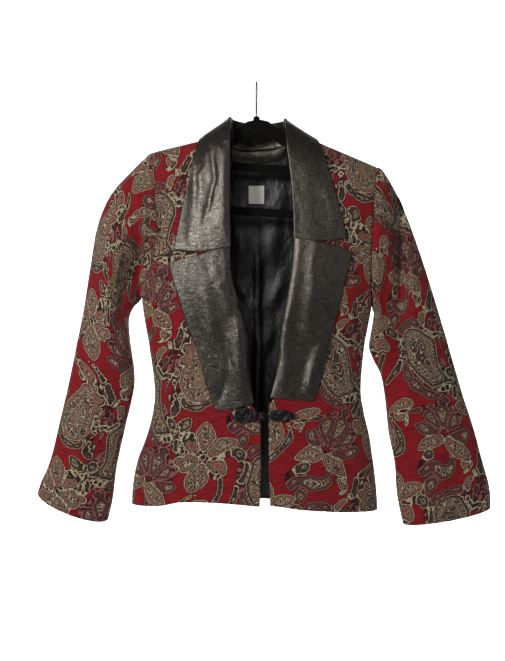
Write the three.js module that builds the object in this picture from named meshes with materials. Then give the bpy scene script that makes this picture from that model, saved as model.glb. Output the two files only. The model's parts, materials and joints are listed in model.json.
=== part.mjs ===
// A fitted brocade blazer with a taffeta collar and lapels, on a flat velvet hanger.
// Millimetres. +X is the wearer's left, +Y is the back, +Z is up.
// The origin is the top of the inside of the hook, where a rail holds the hanger.
import * as THREE from 'three';

// ---------------------------------------------------------------- driving sizes
const CLOTH = 1.6;            // brocade wall, with its interlining
const LAPEL_CLOTH = 2.2;      // two layers of taffeta and a canvas
const LINING_CLOTH = 1.0;
const SEAM_GAP = 0.3;         // clearance between neighbouring pieces
const SHOULDER_ROUND = 90;    // height over which the shoulder rounds out to full depth
const BODY_POWER = 3;         // squareness of the body seen from above
const APEX_X = 10;            // middle of the body
const NECK_MIDDLE = 2;        // middle of the back neck
const NECK_X = 60;            // neck point of each shoulder seam, from that middle
const NECK_Z_RIGHT = -86;     // height of each neck point
const NECK_Z_LEFT = -80;
const SLOPE_RIGHT = 0.24;     // fall of each shoulder, mm for each mm
const SLOPE_LEFT = 0.42;
const NECK_RISE = 12;         // rise of the shoulders' curve between the neck points
const NECK_DROP = 22;         // how far the back neck dips below the neck points
const NECK_FLATNESS = 3.6;      // squareness of that dip
const FACING_DEPTH = 19;      // band below the back neck
const CORD = 4.4;             // braided cord of the frog fastening
const FROG_STEPS = 34;
const WIRE = 3.5;             // steel of the hook
const HOOK_RADIUS = 21;       // centreline of the hook's bend
const NECK_TOP = -54.5;       // top of the hanger's neck
const HANGER_THICK = 4.5;

// ---------------------------------------------------------------- short tables
const named = (columns, rows) =>
  rows.map((row) => Object.fromEntries(columns.map((name, index) => [name, row[index]])));

// Half depths and side edges of the body at each height.
const BODY = named(['z', 'front', 'back', 'right', 'left'], [
  [-710, 55, 52, -206, 200],
  [-660, 53, 50, -204, 197],
  [-620, 51, 47, -196, 192],
  [-580, 49, 44, -181, 186],
  [-541, 47, 40, -171, 177],
  [-505, 46, 38, -168, 172],
  [-432, 49, 41, -177, 178],
  [-373, 54, 44, -187, 189],
  [-334, 56, 46, -191, 196],
  [-290, 55, 45, -196, 204],
  [-230, 50, 42, -202, 214],
  [-150, 44, 36, -205, 222],
  [-60, 42, 33, -205, 222],
]);
const HEM = named(['x', 'front', 'back'], [
  [-210, -691, -691], [-156, -688, -692], [-124, -681, -693], [-80, -680, -693],
  [-30, -683, -693], [5, -686, -693], [22, -685, -694], [66, -691, -695],
  [113, -695, -697], [160, -698, -699], [202, -700, -700],
]);
// Armholes, from the underarm (rise 0) to the shoulder point (rise 1).
const ARMHOLE = named(['rise', 'right', 'left'], [
  [0, -188.5, 189.5], [0.1, -181, 187], [0.2, -172, 186], [0.33, -164, 185.5], [0.45, -161, 186],
  [0.6, -163, 188], [0.75, -165, 191], [0.9, -166, 195], [1, -166, 197],
]);
// Inner edge of each front: the closing edge, then the neckline hidden by the lapel and collar.
const FRONT_EDGE = named(['z', 'right', 'left'], [
  [-700, 4, 22], [-611, 6, 20], [-563, 6, 20], [-545, 4, 20], [-530, -3, 20], [-516, -16, 30],
  [-500, -20, 41], [-452, -25, 49], [-417, -26, 53], [-379, -37, 60], [-341, -49, 66],
  [-300, -54, 69], [-223, -54, 70], [-160, -56, 67], [-86, -60, 62],
]);
// Princess seam that parts each front from its side front.
const PRINCESS = named(['z', 'right', 'left'], [
  [-700, -97, 109], [-629, -99, 113], [-565, -101, 123], [-517, -101, 128], [-440, -100, 127],
  [-277, -88, 110], [-110, -76, 86],
]);
// Sleeve rings from the armhole to the cuff: outer edge, inner edge and half depth.
const SLEEVE_COLUMNS = ['outX', 'outZ', 'inX', 'inZ', 'deep'];
const SLEEVE_RIGHT = named(SLEEVE_COLUMNS, [
  [-166, -112, -188.5, -351, 38], [-185, -124, -192, -356, 40], [-206, -145, -197, -362, 41],
  [-234, -175, -203, -370, 41], [-251, -205, -208, -379, 39], [-264, -244, -210.5, -394, 37],
  [-274, -304, -209, -418, 35], [-285, -373, -205, -446, 33], [-297, -432, -201, -474, 31],
  [-308, -486, -202, -506, 29], [-323, -551, -217, -572, 28], [-340, -620, -230, -632, 26],
  [-355, -655, -236, -682, 25], [-361, -674, -244, -717, 24],
]);
const SLEEVE_LEFT = named(SLEEVE_COLUMNS, [
  [197, -137, 189.5, -369, 38], [209, -146, 192, -374, 40], [225, -170, 194, -380, 41],
  [239, -198, 193, -388, 40], [257, -244, 191, -399, 38], [276, -299, 187.5, -416, 36],
  [293, -353, 185, -436, 34], [309, -406, 193, -457, 32], [325, -462, 205, -482, 31],
  [342, -519, 212, -523, 30], [358, -568, 217, -574, 29], [372, -620, 227, -624, 27],
  [384, -664, 231, -678, 25], [386, -698, 241, -725, 24],
]);
const CUFF_DIP = { right: 11, left: 4 };   // how much lower the front of each cuff hangs
// Largest standing folds of the sleeves: ring span, place round the ring in degrees, width, height.
const FOLD_COLUMNS = ['from', 'to', 'angle', 'width', 'height'];
const FOLDS_RIGHT = named(FOLD_COLUMNS, [
  [1.5, 7, 128, 17, -11], [1, 5.5, 98, 16, 4], [7, 10, 60, 20, -3], [8.5, 11.5, 120, 18, -3],
  [2, 7, 250, 22, -6], [7, 11, 285, 20, -4],
]);
const FOLDS_LEFT = named(FOLD_COLUMNS, [
  [1.5, 9, 86, 13, 5], [1.5, 8.5, 118, 18, -7], [8, 12, 70, 22, -3],
  [2, 7, 245, 22, -6], [7, 12, 280, 20, -4],
]);
// Lapels: stations from the gorge seam down to the lower edge.
const LAPEL_COLUMNS = ['rollX', 'rollZ', 'edgeX', 'edgeZ', 'sag', 'tuck'];
const LAPEL_RIGHT = named(LAPEL_COLUMNS, [
  [-40, -276, -141, -299, 1, 5], [-38, -312, -135, -323, 0, 7], [-32, -341, -124, -355, 0, 7],
  [-21, -379, -113, -392, 0, 7], [-11, -417, -102, -421, 0, 7], [-10, -452, -91, -453, 0, 7],
  [-8, -484, -82, -486, 0, 6], [-6, -505, -73, -513, 0, 3], [-4, -521, -65, -534, -3, 0],
]);
const LAPEL_LEFT = named(LAPEL_COLUMNS, [
  [58, -262, 154, -281, 3, 5], [54, -293, 146, -309, 0, 7], [51, -319, 138, -338, 0, 7],
  [45, -357, 130, -373, 0, 7], [37, -397, 121, -406, 0, 7], [33, -433, 113, -443, 0, 7],
  [30, -468, 104, -477, 0, 6], [23, -502, 96, -508, 0, 3], [21, -513, 90, -520, 0, 0],
]);
const ROLL_WIDTH = 13;        // strip of the lapel that turns in towards the chest
// Collar: stations from the right gorge, over the shoulder, round the back, to the left gorge.
const COLLAR = named(['rollX', 'rollY', 'rollZ', 'edgeX', 'edgeY', 'edgeZ', 'sag'], [
  [-40, 0, -273, -132, 0, -278, -6], [-41, 0, -223, -120, 0, -222, 0],
  [-41, 0, -177, -110, 0, -176, 0], [-41, 0, -140, -103, 0, -138, 0],
  [-41, 0, -98, -98, 0, -112, 0], [-42, 0, -57, -93, 0, -92, 0],
  [-40, 14, -55, -93, 24, -108, 0], [-30, 27, -55, -76, 36, -122, 0],
  [-15, 36, -56, -42, 42, -130, 0], [2, 39, -57, 2, 45, -132, 0],
  [20, 36, -57, 46, 42, -130, 0], [34, 27, -57, 80, 36, -120, 0],
  [44, 14, -58, 96, 24, -106, 0], [46, 0, -60, 97, 0, -93, 0],
  [47, 0, -102, 106, 0, -114, 0], [51, 0, -140, 112, 0, -138, 0],
  [55, 0, -177, 122, 0, -176, 0], [58, 0, -223, 134, 0, -218, 0],
  [58, 0, -259, 143, 0, -258, -6],
]);
const CREST_RIGHT = 5;        // collar stations that lie on the shoulders
const CREST_LEFT = 13;
const COLLAR_MIDDLE = (CREST_RIGHT + CREST_LEFT) / 2;
const COLLAR_LIFT = 1.3;      // air under the collar
const LAPEL_LIFT = 0.7;       // air under the lapels

const COLOURS = {
  brocade: 0x742a2b, taffeta: 0x2c2d30, satin: 0x0c0c0f, label: 0xe6dfcd,
  cord: 0x101012, velvet: 0x0b0b0d, steel: 0xb9babd,
};

// ---------------------------------------------------------------- reading the tables
const degrees = THREE.MathUtils.radToDeg;
const clamp = (value, low, high) => Math.min(high, Math.max(low, value));
const mix = (a, b, share) => a + (b - a) * share;

// Smooth reading of one column at a row number that may lie between rows.
function atRow(rows, place, column) {
  const last = rows.length - 1;
  const index = Math.min(Math.floor(clamp(place, 0, last)), last - 1);
  const share = clamp(place, 0, last) - index;
  const value = (row) => rows[clamp(row, 0, last)][column];
  const before = value(index - 1);
  const start = value(index);
  const end = value(index + 1);
  const after = value(index + 2);
  const rise = (end - before) / 2;
  const fall = (after - start) / 2;
  const cube = share ** 3;
  const square = share ** 2;
  return start * (2 * cube - 3 * square + 1) + rise * (cube - 2 * square + share)
    + end * (3 * square - 2 * cube) + fall * (cube - square);
}

// The same, found by the value of a key column, which rises or falls all the way.
function atKey(rows, key, wanted, column) {
  const rising = rows[rows.length - 1][key] > rows[0][key];
  const passed = (row) => (rising ? row[key] > wanted : row[key] < wanted);
  const found = rows.findIndex(passed);
  const index = found < 0 ? rows.length - 2 : Math.max(0, found - 1);
  const from = rows[index][key];
  const to = rows[index + 1][key];
  return atRow(rows, index + clamp((wanted - from) / (to - from), 0, 1), column);
}

// ---------------------------------------------------------------- the body's form
function shoulderLine(x) {
  const across = (x - NECK_MIDDLE) / NECK_X;
  if (across < -1) return NECK_Z_RIGHT + (across + 1) * NECK_X * SLOPE_RIGHT;
  if (across > 1) return NECK_Z_LEFT - (across - 1) * NECK_X * SLOPE_LEFT;
  return mix(NECK_Z_RIGHT, NECK_Z_LEFT, (across + 1) / 2) + NECK_RISE * (1 - across ** 2);
}

const UNDERARM = { z: -360, tilt: -0.047 };       // height of the underarms in the middle, and its slope
const UNDERARM_X = { right: -185, left: 188 };
const underarmLine = (x) => UNDERARM.z + UNDERARM.tilt * x;

// Rounding from the shoulder seam out to the full depth.
function roundOff(drop) {
  const share = clamp(drop / SHOULDER_ROUND, 0, 1);
  return Math.sqrt(1 - (1 - share) ** 2);
}

// Share of the depth that is left at a place across the body.
function acrossBody(x, z, lift) {
  const side = atKey(BODY, 'z', z, x < APEX_X ? 'right' : 'left');
  const share = clamp(Math.abs(x - APEX_X) / (Math.abs(side - APEX_X) + lift), 0, 1);
  return Math.sqrt(1 - share ** BODY_POWER);
}

// Depth of the front or back at a place, lifted off the cloth by a clearance.
function depthAt(face, x, z, lift = 0, crest = shoulderLine(x)) {
  const full = atKey(BODY, 'z', z, face) + lift;
  return full * roundOff(crest + lift - z) * acrossBody(x, z, lift);
}

const frontY = (x, z, lift = 0, crest = undefined) => -depthAt('front', x, z, lift, crest);
const backY = (x, z, lift = 0) => depthAt('back', x, z, lift);

// Top edge of the back: the shoulder seams, with the neck scooped out between them.
function backTop(x) {
  const across = (x - NECK_MIDDLE) / NECK_X;
  if (Math.abs(across) >= 1) return shoulderLine(x);
  const points = mix(NECK_Z_RIGHT, NECK_Z_LEFT, (across + 1) / 2);
  return points - NECK_DROP * (1 - Math.abs(across) ** NECK_FLATNESS);
}

// Heights of a row: rows 0 to 1 run from the hem to the underarm, 1 to 2 on to the top edge.
function rowHeight(x, row, hemFace, top) {
  const hem = atKey(HEM, 'x', x, hemFace);
  const under = underarmLine(x);
  return row <= 1 ? mix(hem, under, row) : mix(under, top(x), row - 1);
}

// Outer edge of a row on one side: the side seam, then the armhole.
function outerEdge(side, row, hemFace, top) {
  if (row >= 1) return atKey(ARMHOLE, 'rise', row - 1, side);
  return atKey(BODY, 'z', rowHeight(UNDERARM_X[side], row, hemFace, top), side);
}

const LOWER_ROWS = Array.from({ length: 12 }, (_, index) => index / 12);
// Above the underarm the rows meet the armhole where the sleeve's ring points do.
const HALF_RING = 10;
const CREST_ROW = 0.994;
const UPPER_ROWS = Array.from({ length: HALF_RING }, (_, index) =>
  (1 - Math.cos((index / HALF_RING) * Math.PI)) / 2);
const BODY_ROWS = [...LOWER_ROWS, ...[...UPPER_ROWS, CREST_ROW, 1].map((rise) => 1 + rise)];

// ---------------------------------------------------------------- walls of cloth
// Unit normals of a grid of points.
function gridNormals(grid, closed) {
  const rows = grid.length;
  const columns = grid[0].length;
  return grid.map((line, i) => line.map((_, j) => {
    const left = closed ? (j + columns - 1) % columns : Math.max(j - 1, 0);
    const right = closed ? (j + 1) % columns : Math.min(j + 1, columns - 1);
    const along = line[right].clone().sub(line[left]);
    const up = grid[Math.min(i + 1, rows - 1)][j].clone().sub(grid[Math.max(i - 1, 0)][j]);
    return along.cross(up).normalize();
  }));
}

// The second skin of a wall, moved off the first along the normals, towards or away from a point.
function secondSkin(grid, thick, middleOf, away = false, closed = false) {
  const normals = gridNormals(grid, closed);
  return grid.map((line, i) => line.map((point, j) => {
    const inward = middleOf(point, i).sub(point);
    const side = Math.sign(normals[i][j].dot(inward)) * (away ? -1 : 1);
    return point.clone().addScaledVector(normals[i][j], side * thick);
  }));
}

// One closed body between two skins of the same grid.
function wallBetween(first, second, closed = false) {
  const rows = first.length;
  const columns = first[0].length;
  const positions = [...first.flat(), ...second.flat()].flatMap((point) => point.toArray());
  const faces = [];
  const at = (skin, i, j) => skin * rows * columns + i * columns + (j % columns);
  const quad = (a, b, c, d) => faces.push(a, b, c, a, c, d);
  const spans = closed ? columns : columns - 1;
  for (let i = 0; i < rows - 1; i += 1) {
    for (let j = 0; j < spans; j += 1) {
      quad(at(0, i, j), at(0, i, j + 1), at(0, i + 1, j + 1), at(0, i + 1, j));
      faces.push(at(1, i, j), at(1, i + 1, j + 1), at(1, i, j + 1));
      faces.push(at(1, i, j), at(1, i + 1, j), at(1, i + 1, j + 1));
    }
  }
  for (let j = 0; j < spans; j += 1) {
    quad(at(0, 0, j + 1), at(0, 0, j), at(1, 0, j), at(1, 0, j + 1));
    quad(at(0, rows - 1, j), at(0, rows - 1, j + 1), at(1, rows - 1, j + 1), at(1, rows - 1, j));
  }
  if (!closed) {
    for (let i = 0; i < rows - 1; i += 1) {
      quad(at(0, i, 0), at(0, i + 1, 0), at(1, i + 1, 0), at(1, i, 0));
      const last = columns - 1;
      quad(at(0, i + 1, last), at(0, i, last), at(1, i, last), at(1, i + 1, last));
    }
  }
  return facingOut(positions, faces);
}

// Turns the faces over if the body would otherwise be inside out.
function facingOut(positions, faces) {
  const corner = (index) => new THREE.Vector3().fromArray(positions, index * 3);
  let volume = 0;
  for (let f = 0; f < faces.length; f += 3) {
    volume += corner(faces[f]).dot(corner(faces[f + 1]).cross(corner(faces[f + 2])));
  }
  if (volume < 0) faces.reverse();
  const geometry = new THREE.BufferGeometry();
  geometry.setAttribute('position', new THREE.Float32BufferAttribute(positions, 3));
  geometry.setIndex(faces);
  geometry.computeVertexNormals();
  return geometry;
}

const bodyMiddle = (point) => new THREE.Vector3(APEX_X, 0, point.z - 10);

// ---------------------------------------------------------------- body pieces
const FRONT_COLUMNS = 5;
const SIDE_COLUMNS = 6;

// Outer skin of a whole half front, from the closing edge to the side seam and armhole.
function halfFront(side) {
  const near = side === 'right' ? -50 : 50;
  return BODY_ROWS.map((row) => {
    const edgeX = atKey(FRONT_EDGE, 'z', rowHeight(near, row, 'front', shoulderLine), side);
    const seamX = atKey(PRINCESS, 'z', rowHeight(near * 2, row, 'front', shoulderLine), side);
    const outX = outerEdge(side, row, 'front', shoulderLine);
    const place = (x) => {
      const z = rowHeight(x, row, 'front', shoulderLine);
      return new THREE.Vector3(x, Math.min(frontY(x, z), -SEAM_GAP / 2), z);
    };
    const inner = Array.from({ length: FRONT_COLUMNS },
      (_, c) => place(mix(edgeX, seamX, c / FRONT_COLUMNS)));
    const outer = Array.from({ length: SIDE_COLUMNS + 1 }, (_, c) =>
      place(mix(seamX, outX, Math.sin((c / SIDE_COLUMNS) * Math.PI / 2))));
    return [...inner, ...outer];
  });
}

const shiftX = (point, move) => new THREE.Vector3(point.x + move, point.y, point.z);
const keepInFront = (point) => new THREE.Vector3(point.x, Math.min(point.y, -SEAM_GAP / 2), point.z);
const keepBehind = (point) => new THREE.Vector3(point.x, Math.max(point.y, SEAM_GAP / 2), point.z);

// One panel of a half front: a run of its columns, drawn back a little from the seams.
function frontPanel(side, first, last) {
  const outward = side === 'right' ? -1 : 1;
  const outer = halfFront(side);
  const inner = secondSkin(outer, CLOTH, bodyMiddle);
  const cut = (skin) => skin.map((line) => line.slice(first, last + 1).map((point, index) => {
    const atSeam = index === 0 && first > 0 ? 1 : 0;
    const atEnd = index === last - first ? -1 : 0;
    return keepInFront(shiftX(point, outward * (atSeam + atEnd) * SEAM_GAP * 0.6));
  }));
  return wallBetween(cut(outer), cut(inner));
}

// Columns of the back: even between the neck points, closer together towards each side.
function backColumns(fromX, toX) {
  const inner = 8;
  const outer = 6;
  const swing = (index) => Math.sin((index / outer) * Math.PI / 2);
  const neckRight = NECK_MIDDLE - NECK_X;
  const neckLeft = NECK_MIDDLE + NECK_X;
  const right = Array.from({ length: outer }, (_, c) => mix(neckRight, fromX, swing(outer - c)));
  const middle = Array.from({ length: inner }, (_, c) => mix(neckRight, neckLeft, c / inner));
  const left = Array.from({ length: outer + 1 }, (_, c) => mix(neckLeft, toX, swing(c)));
  return [...right, ...middle, ...left];
}

function backPanel() {
  const grid = BODY_ROWS.map((row) => {
    const fromX = outerEdge('right', row, 'back', backTop) + SEAM_GAP * 0.6;
    const toX = outerEdge('left', row, 'back', backTop) - SEAM_GAP * 0.6;
    return backColumns(fromX, toX).map((x) => {
      const z = rowHeight(x, row, 'back', backTop);
      return new THREE.Vector3(x, Math.max(backY(x, z), SEAM_GAP / 2), z);
    });
  });
  const inner = secondSkin(grid, CLOTH, bodyMiddle).map((line) => line.map(keepBehind));
  return wallBetween(grid, inner);
}

// ---------------------------------------------------------------- sleeves
const RING_POINTS = 2 * HALF_RING;
const SLEEVE_RINGS = [0, 0.5, 1, 1.6, 2.3, 3, 4, 5, 6, 7, 8, 9, 10, 11, 12, 13];
const CAP_FADE = 3;           // rings over which the armhole's shape fades out

// A point of the armhole seam, at an angle round it from the shoulder point.
function armholePoint(side, angle) {
  const rise = (1 + Math.cos(angle)) / 2;
  const x = atKey(ARMHOLE, 'rise', rise, side);
  const z = mix(underarmLine(x), shoulderLine(x), rise);
  const y = Math.sin(angle) >= 0 ? frontY(x, z) : backY(x, z);
  return new THREE.Vector3(x, y, z);
}

// A smooth hump, 1 in the middle and 0 past the width.
const hump = (distance, width) => Math.exp(-((distance / width) ** 2));

// How far the standing folds push the sleeve out or in.
function foldHeight(folds, place, degrees) {
  return folds.reduce((sum, fold) => {
    const along = clamp((place - fold.from) / (fold.to - fold.from), 0, 1);
    const turn = Math.abs(((degrees - fold.angle + 540) % 360) - 180);
    return sum + fold.height * Math.sin(along * Math.PI) * hump(turn, fold.width);
  }, 0);
}

function sleevePoint(side, rings, folds, place, angle) {
  const ring = (number, column) => atRow(rings, number, column);
  const oval = (number) => {
    const top = new THREE.Vector3(ring(number, 'outX'), 0, ring(number, 'outZ'));
    const low = new THREE.Vector3(ring(number, 'inX'), 0, ring(number, 'inZ'));
    const middle = top.clone().add(low).multiplyScalar(0.5);
    const reach = top.sub(low).multiplyScalar(0.5);
    return middle.addScaledVector(reach, Math.cos(angle))
      .add(new THREE.Vector3(0, -Math.sin(angle) * ring(number, 'deep'), 0));
  };
  const toArmhole = armholePoint(side, angle).sub(oval(0));
  const fade = clamp(1 - place / CAP_FADE, 0, 1) ** 2;
  const point = oval(place).addScaledVector(toArmhole, fade);
  const height = foldHeight(folds, place, degrees(angle));
  point.y -= Math.sin(angle) * height;
  point.x += (side === 'right' ? -1 : 1) * SEAM_GAP * 0.6;
  point.z -= CUFF_DIP[side] * Math.max(Math.sin(angle), 0) * clamp(place - 10, 0, 3) / 3;
  return point;
}

function sleeve(side, rings, folds) {
  const grid = SLEEVE_RINGS.map((place) => Array.from({ length: RING_POINTS }, (_, c) =>
    sleevePoint(side, rings, folds, place, (c / RING_POINTS) * 2 * Math.PI)));
  const middles = grid.map((line) =>
    line.reduce((sum, point) => sum.add(point), new THREE.Vector3()).divideScalar(RING_POINTS));
  const inner = secondSkin(grid, CLOTH, (_, ringNumber) => middles[ringNumber].clone(), false, true);
  return wallBetween(grid, inner, true);
}

// ---------------------------------------------------------------- lapels and collar
function lapel(stations) {
  const steps = 16;
  const across = 6;
  const grid = Array.from({ length: steps + 1 }, (_, s) => {
    const place = (s / steps) * (stations.length - 1);
    const read = (column) => atRow(stations, place, column);
    return Array.from({ length: across + 1 }, (__, c) => {
      const share = (c / across) ** 1.4;
      const x = mix(read('rollX'), read('edgeX'), share);
      const z = mix(read('rollZ'), read('edgeZ'), share) + read('sag') * Math.sin(share * Math.PI);
      const fromRoll = Math.abs(x - read('rollX'));
      const turned = read('tuck') * clamp(1 - fromRoll / ROLL_WIDTH, 0, 1) ** 2;
      return new THREE.Vector3(x, frontY(x, z, LAPEL_LIFT) + turned, z);
    });
  });
  return wallBetween(grid, secondSkin(grid, LAPEL_CLOTH, bodyMiddle, true));
}

// Height of the collar where it crosses each shoulder.
function collarCrest(x) {
  const station = COLLAR[x < APEX_X ? CREST_RIGHT : CREST_LEFT];
  const share = (x - station.rollX) / (station.edgeX - station.rollX);
  const crest = mix(station.rollZ, station.edgeZ, Math.max(share, 0));
  return Math.max(crest, shoulderLine(x) + COLLAR_LIFT);
}

function collarPoint(place, share) {
  const read = (column) => atRow(COLLAR, place, column);
  const x = mix(read('rollX'), read('edgeX'), share);
  const y = mix(read('rollY'), read('edgeY'), share);
  const z = mix(read('rollZ'), read('edgeZ'), share) + read('sag') * Math.sin(share * Math.PI);
  if (place > CREST_RIGHT && place < CREST_LEFT) {
    return new THREE.Vector3(x, Math.max(y, backY(x, z, COLLAR_LIFT)), z);
  }
  return new THREE.Vector3(x, frontY(x, z, COLLAR_LIFT, collarCrest(x)), z);
}

function collarFall() {
  const steps = 2;
  const across = 5;
  const count = (COLLAR.length - 1) * steps;
  const grid = Array.from({ length: count + 1 }, (_, s) =>
    Array.from({ length: across + 1 }, (__, c) => collarPoint(s / steps, c / across)));
  const middleOf = (point) => new THREE.Vector3(NECK_MIDDLE, point.y * 0.4, point.z - 40);
  return wallBetween(grid, secondSkin(grid, LAPEL_CLOTH, middleOf, true));
}

// Where the stand's lower edge meets the body: the front necklines and the back neck.
function neckSeam(place) {
  const station = (column) => atRow(COLLAR, place, column);
  const towardsBack = clamp((place - CREST_RIGHT) / (CREST_LEFT - CREST_RIGHT), 0, 1);
  if (towardsBack > 0 && towardsBack < 1) {
    const x = NECK_MIDDLE - (NECK_X - 1) * Math.cos(towardsBack * Math.PI);
    const z = backTop(x) + SEAM_GAP * 4;
    return new THREE.Vector3(x, backY(x, backTop(x)) - SEAM_GAP * 3, z);
  }
  const side = place < COLLAR_MIDDLE ? 'right' : 'left';
  const z = mix(station('rollZ'), NECK_Z_RIGHT, 0.5) - 4;
  const x = atKey(FRONT_EDGE, 'z', z, side) + (side === 'right' ? 1 : -1) * SEAM_GAP * 4;
  return new THREE.Vector3(x, Math.min(frontY(x, z), 0), z);
}

const STAND_INSET = 0.9;      // how far the stand lies inside the roll, and below it
const STAND_DROP = 1.1;

// The stand, from just under the roll down to the neck seam.
function collarStand() {
  const first = CREST_RIGHT - 2;
  const last = CREST_LEFT + 2;
  const across = 3;
  const steps = (last - first) * 2;
  const grid = Array.from({ length: steps + 1 }, (_, s) => {
    const place = mix(first, last, s / steps);
    const top = collarPoint(place, 0);
    const inwards = new THREE.Vector3(NECK_MIDDLE, 0, top.z).sub(top).setLength(STAND_INSET);
    top.add(inwards);
    top.z -= STAND_DROP;
    const low = neckSeam(place);
    return Array.from({ length: across + 1 }, (__, c) => top.clone().lerp(low, c / across));
  });
  const middleOf = (point) => new THREE.Vector3(NECK_MIDDLE, point.y * 0.3, point.z);
  return wallBetween(grid, secondSkin(grid, CLOTH, middleOf));
}

// ---------------------------------------------------------------- lining, facing and label
const LINING_LIFT = -(CLOTH + 1.6);

// A sheet against the inside of the back, between two heights worked out for each x.
function insideBack(columns, rows, top, bottom, lift, thick, raised = () => 0) {
  const grid = rows.map((share) => columns.map((column) => {
    const x = typeof column === 'function' ? column(share) : column;
    const z = mix(bottom(x), top(x), share);
    return new THREE.Vector3(x, backY(x, z, lift) - raised(x, z), z);
  }));
  return wallBetween(grid, secondSkin(grid, thick, bodyMiddle));
}

const LINING_HEM = -688;
const LINING_TOP = -120;
const LINING_REACH = 0.88;    // share of the body's half width that the lining covers
const LINING_UPPER = { z: -330, reach: 150 };     // above this height it keeps clear of the armholes
const PLEAT_TOP = -228;       // where the ease pleat of the lining opens
const PLEAT_HEIGHT = 5;

function liningBack() {
  const shares = [
    -1, -0.8, -0.6, -0.42, -0.26, -0.13, -0.05, -0.02, 0.01, 0.05, 0.13, 0.26, 0.42, 0.6, 0.8, 1,
  ];
  const columns = shares.map((share) => (rise) => {
    const z = mix(LINING_HEM, LINING_TOP, rise);
    const side = Math.abs(atKey(BODY, 'z', z, share < 0 ? 'right' : 'left'));
    const reach = z > LINING_UPPER.z ? Math.min(side, LINING_UPPER.reach) : side * LINING_REACH;
    return share < 0 ? share * reach : share * reach + NECK_MIDDLE;
  });
  const rows = Array.from({ length: 17 }, (_, index) => index / 16);
  const raised = (x, z) => PLEAT_HEIGHT * hump(x - NECK_MIDDLE, 7) * clamp((PLEAT_TOP - z) / 60, 0, 1);
  const top = (x) => backTop(x) - FACING_DEPTH - 2;
  return insideBack(columns, rows, top, () => LINING_HEM, LINING_LIFT, LINING_CLOTH, raised);
}

function neckFacing() {
  const columns = Array.from({ length: 13 }, (_, index) => NECK_MIDDLE + mix(-45, 45, index / 12));
  const top = (x) => backTop(x) - 2.5;
  const bottom = (x) => backTop(x) - FACING_DEPTH - 1;
  return insideBack(columns, [0, 0.5, 1], top, bottom, LINING_LIFT - 1.1, LINING_CLOTH);
}

const LABEL = { halfWidth: 13, top: -163, bottom: -193, thick: 0.6 };

function blankLabel() {
  const columns = [-LABEL.halfWidth, 0, LABEL.halfWidth];
  const lift = LINING_LIFT - LINING_CLOTH - 0.5;
  return insideBack(columns, [0, 0.5, 1], () => LABEL.top, () => LABEL.bottom, lift, LABEL.thick);
}

// ---------------------------------------------------------------- frog fastening
// A round cord along a path.
function cord(points, diameter, sides, steps) {
  const path = new THREE.CatmullRomCurve3(points, false, 'centripetal');
  const section = new THREE.Shape();
  section.absarc(0, 0, diameter / 2, 0, Math.PI * 2);
  return new THREE.ExtrudeGeometry(section, {
    steps, bevelEnabled: false, extrudePath: path, curveSegments: sides / 2,
  });
}

// A lobe of cord coiled flat on the front, with its free end leading to the knot.
function frogLobe(middleX, middleZ, halfLong, halfHigh, startTurn, leadX) {
  const turns = 1.75;
  const count = 22;
  const seat = (x, z) => new THREE.Vector3(x, frontY(x, z, 0.4) - CORD / 2, z);
  const coil = Array.from({ length: count + 1 }, (_, index) => {
    const share = index / count;
    const angle = startTurn + share * turns * Math.PI * 2;
    const shrink = share * turns * (CORD + 0.9);
    return seat(middleX + (halfLong - CORD / 2 - shrink) * Math.cos(angle),
      middleZ + (halfHigh - CORD / 2 - shrink * 0.8) * Math.sin(angle));
  });
  return cord([seat(leadX, middleZ - 1), ...coil], CORD, 6, FROG_STEPS);
}

const KNOT = { x: 9, z: -543, radius: 7.5 };

function frogKnot() {
  const geometry = new THREE.SphereGeometry(KNOT.radius, 12, 8);
  geometry.scale(1, 0.8, 1);
  geometry.translate(KNOT.x, frontY(KNOT.x, KNOT.z, 0.4) - KNOT.radius * 0.8, KNOT.z);
  return geometry;
}

// ---------------------------------------------------------------- hanger
const ARM_CLEARANCE = CLOTH + 2;
const ARCH = 15;              // rise of the middle above the arms
const TILT = 0.06;            // the hanger hangs a little down on the left
const TIE_BAR = { top: -133, bottom: -145 };
const TROUSER_BAR = { top: -205, bottom: -218 };
const HANGER_RIGHT = -164;
const HANGER_LEFT = 176;
const END_ROUND = 28;
const LOW_ROUND = 26;         // corners below the arms
const ARM_HEIGHT = 24;
const ARCH_WIDTH = 30;
const UPPER_GAP = { right: -98, left: 112 };      // reach of the gap above the tie bar
const LOWER_GAP = { inset: 16, slant: 6, round: 18 };

// The flat arch below the hook: it falls away steeply on both sides.
const archRise = (x) => ARCH * Math.exp(-((x / ARCH_WIDTH) ** 4));
const armTop = (x) => shoulderLine(x) - ARM_CLEARANCE + archRise(x);
const armUnder = (x) => armTop(x) - ARM_HEIGHT;
const tilted = (x, z) => new THREE.Vector2(x, z - TILT * x);

// Points of a quarter or half round, from one angle to another.
function roundCorner(x, z, radius, fromDegrees, toDegrees, count = 5) {
  return Array.from({ length: count }, (_, index) => {
    const angle = THREE.MathUtils.degToRad(mix(fromDegrees, toDegrees, index / (count - 1)));
    return new THREE.Vector2(x + radius * Math.cos(angle), z + radius * Math.sin(angle));
  });
}

// The round end of an arm: an arc that leaves the slope of the arm and turns down.
function armEnd(centreX, slopeDegrees, endDegrees) {
  const lean = THREE.MathUtils.degToRad(slopeDegrees);
  const centreZ = armTop(centreX + END_ROUND * Math.cos(lean)) - END_ROUND * Math.sin(lean);
  return roundCorner(centreX, centreZ, END_ROUND, slopeDegrees, endDegrees, 6);
}

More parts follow.
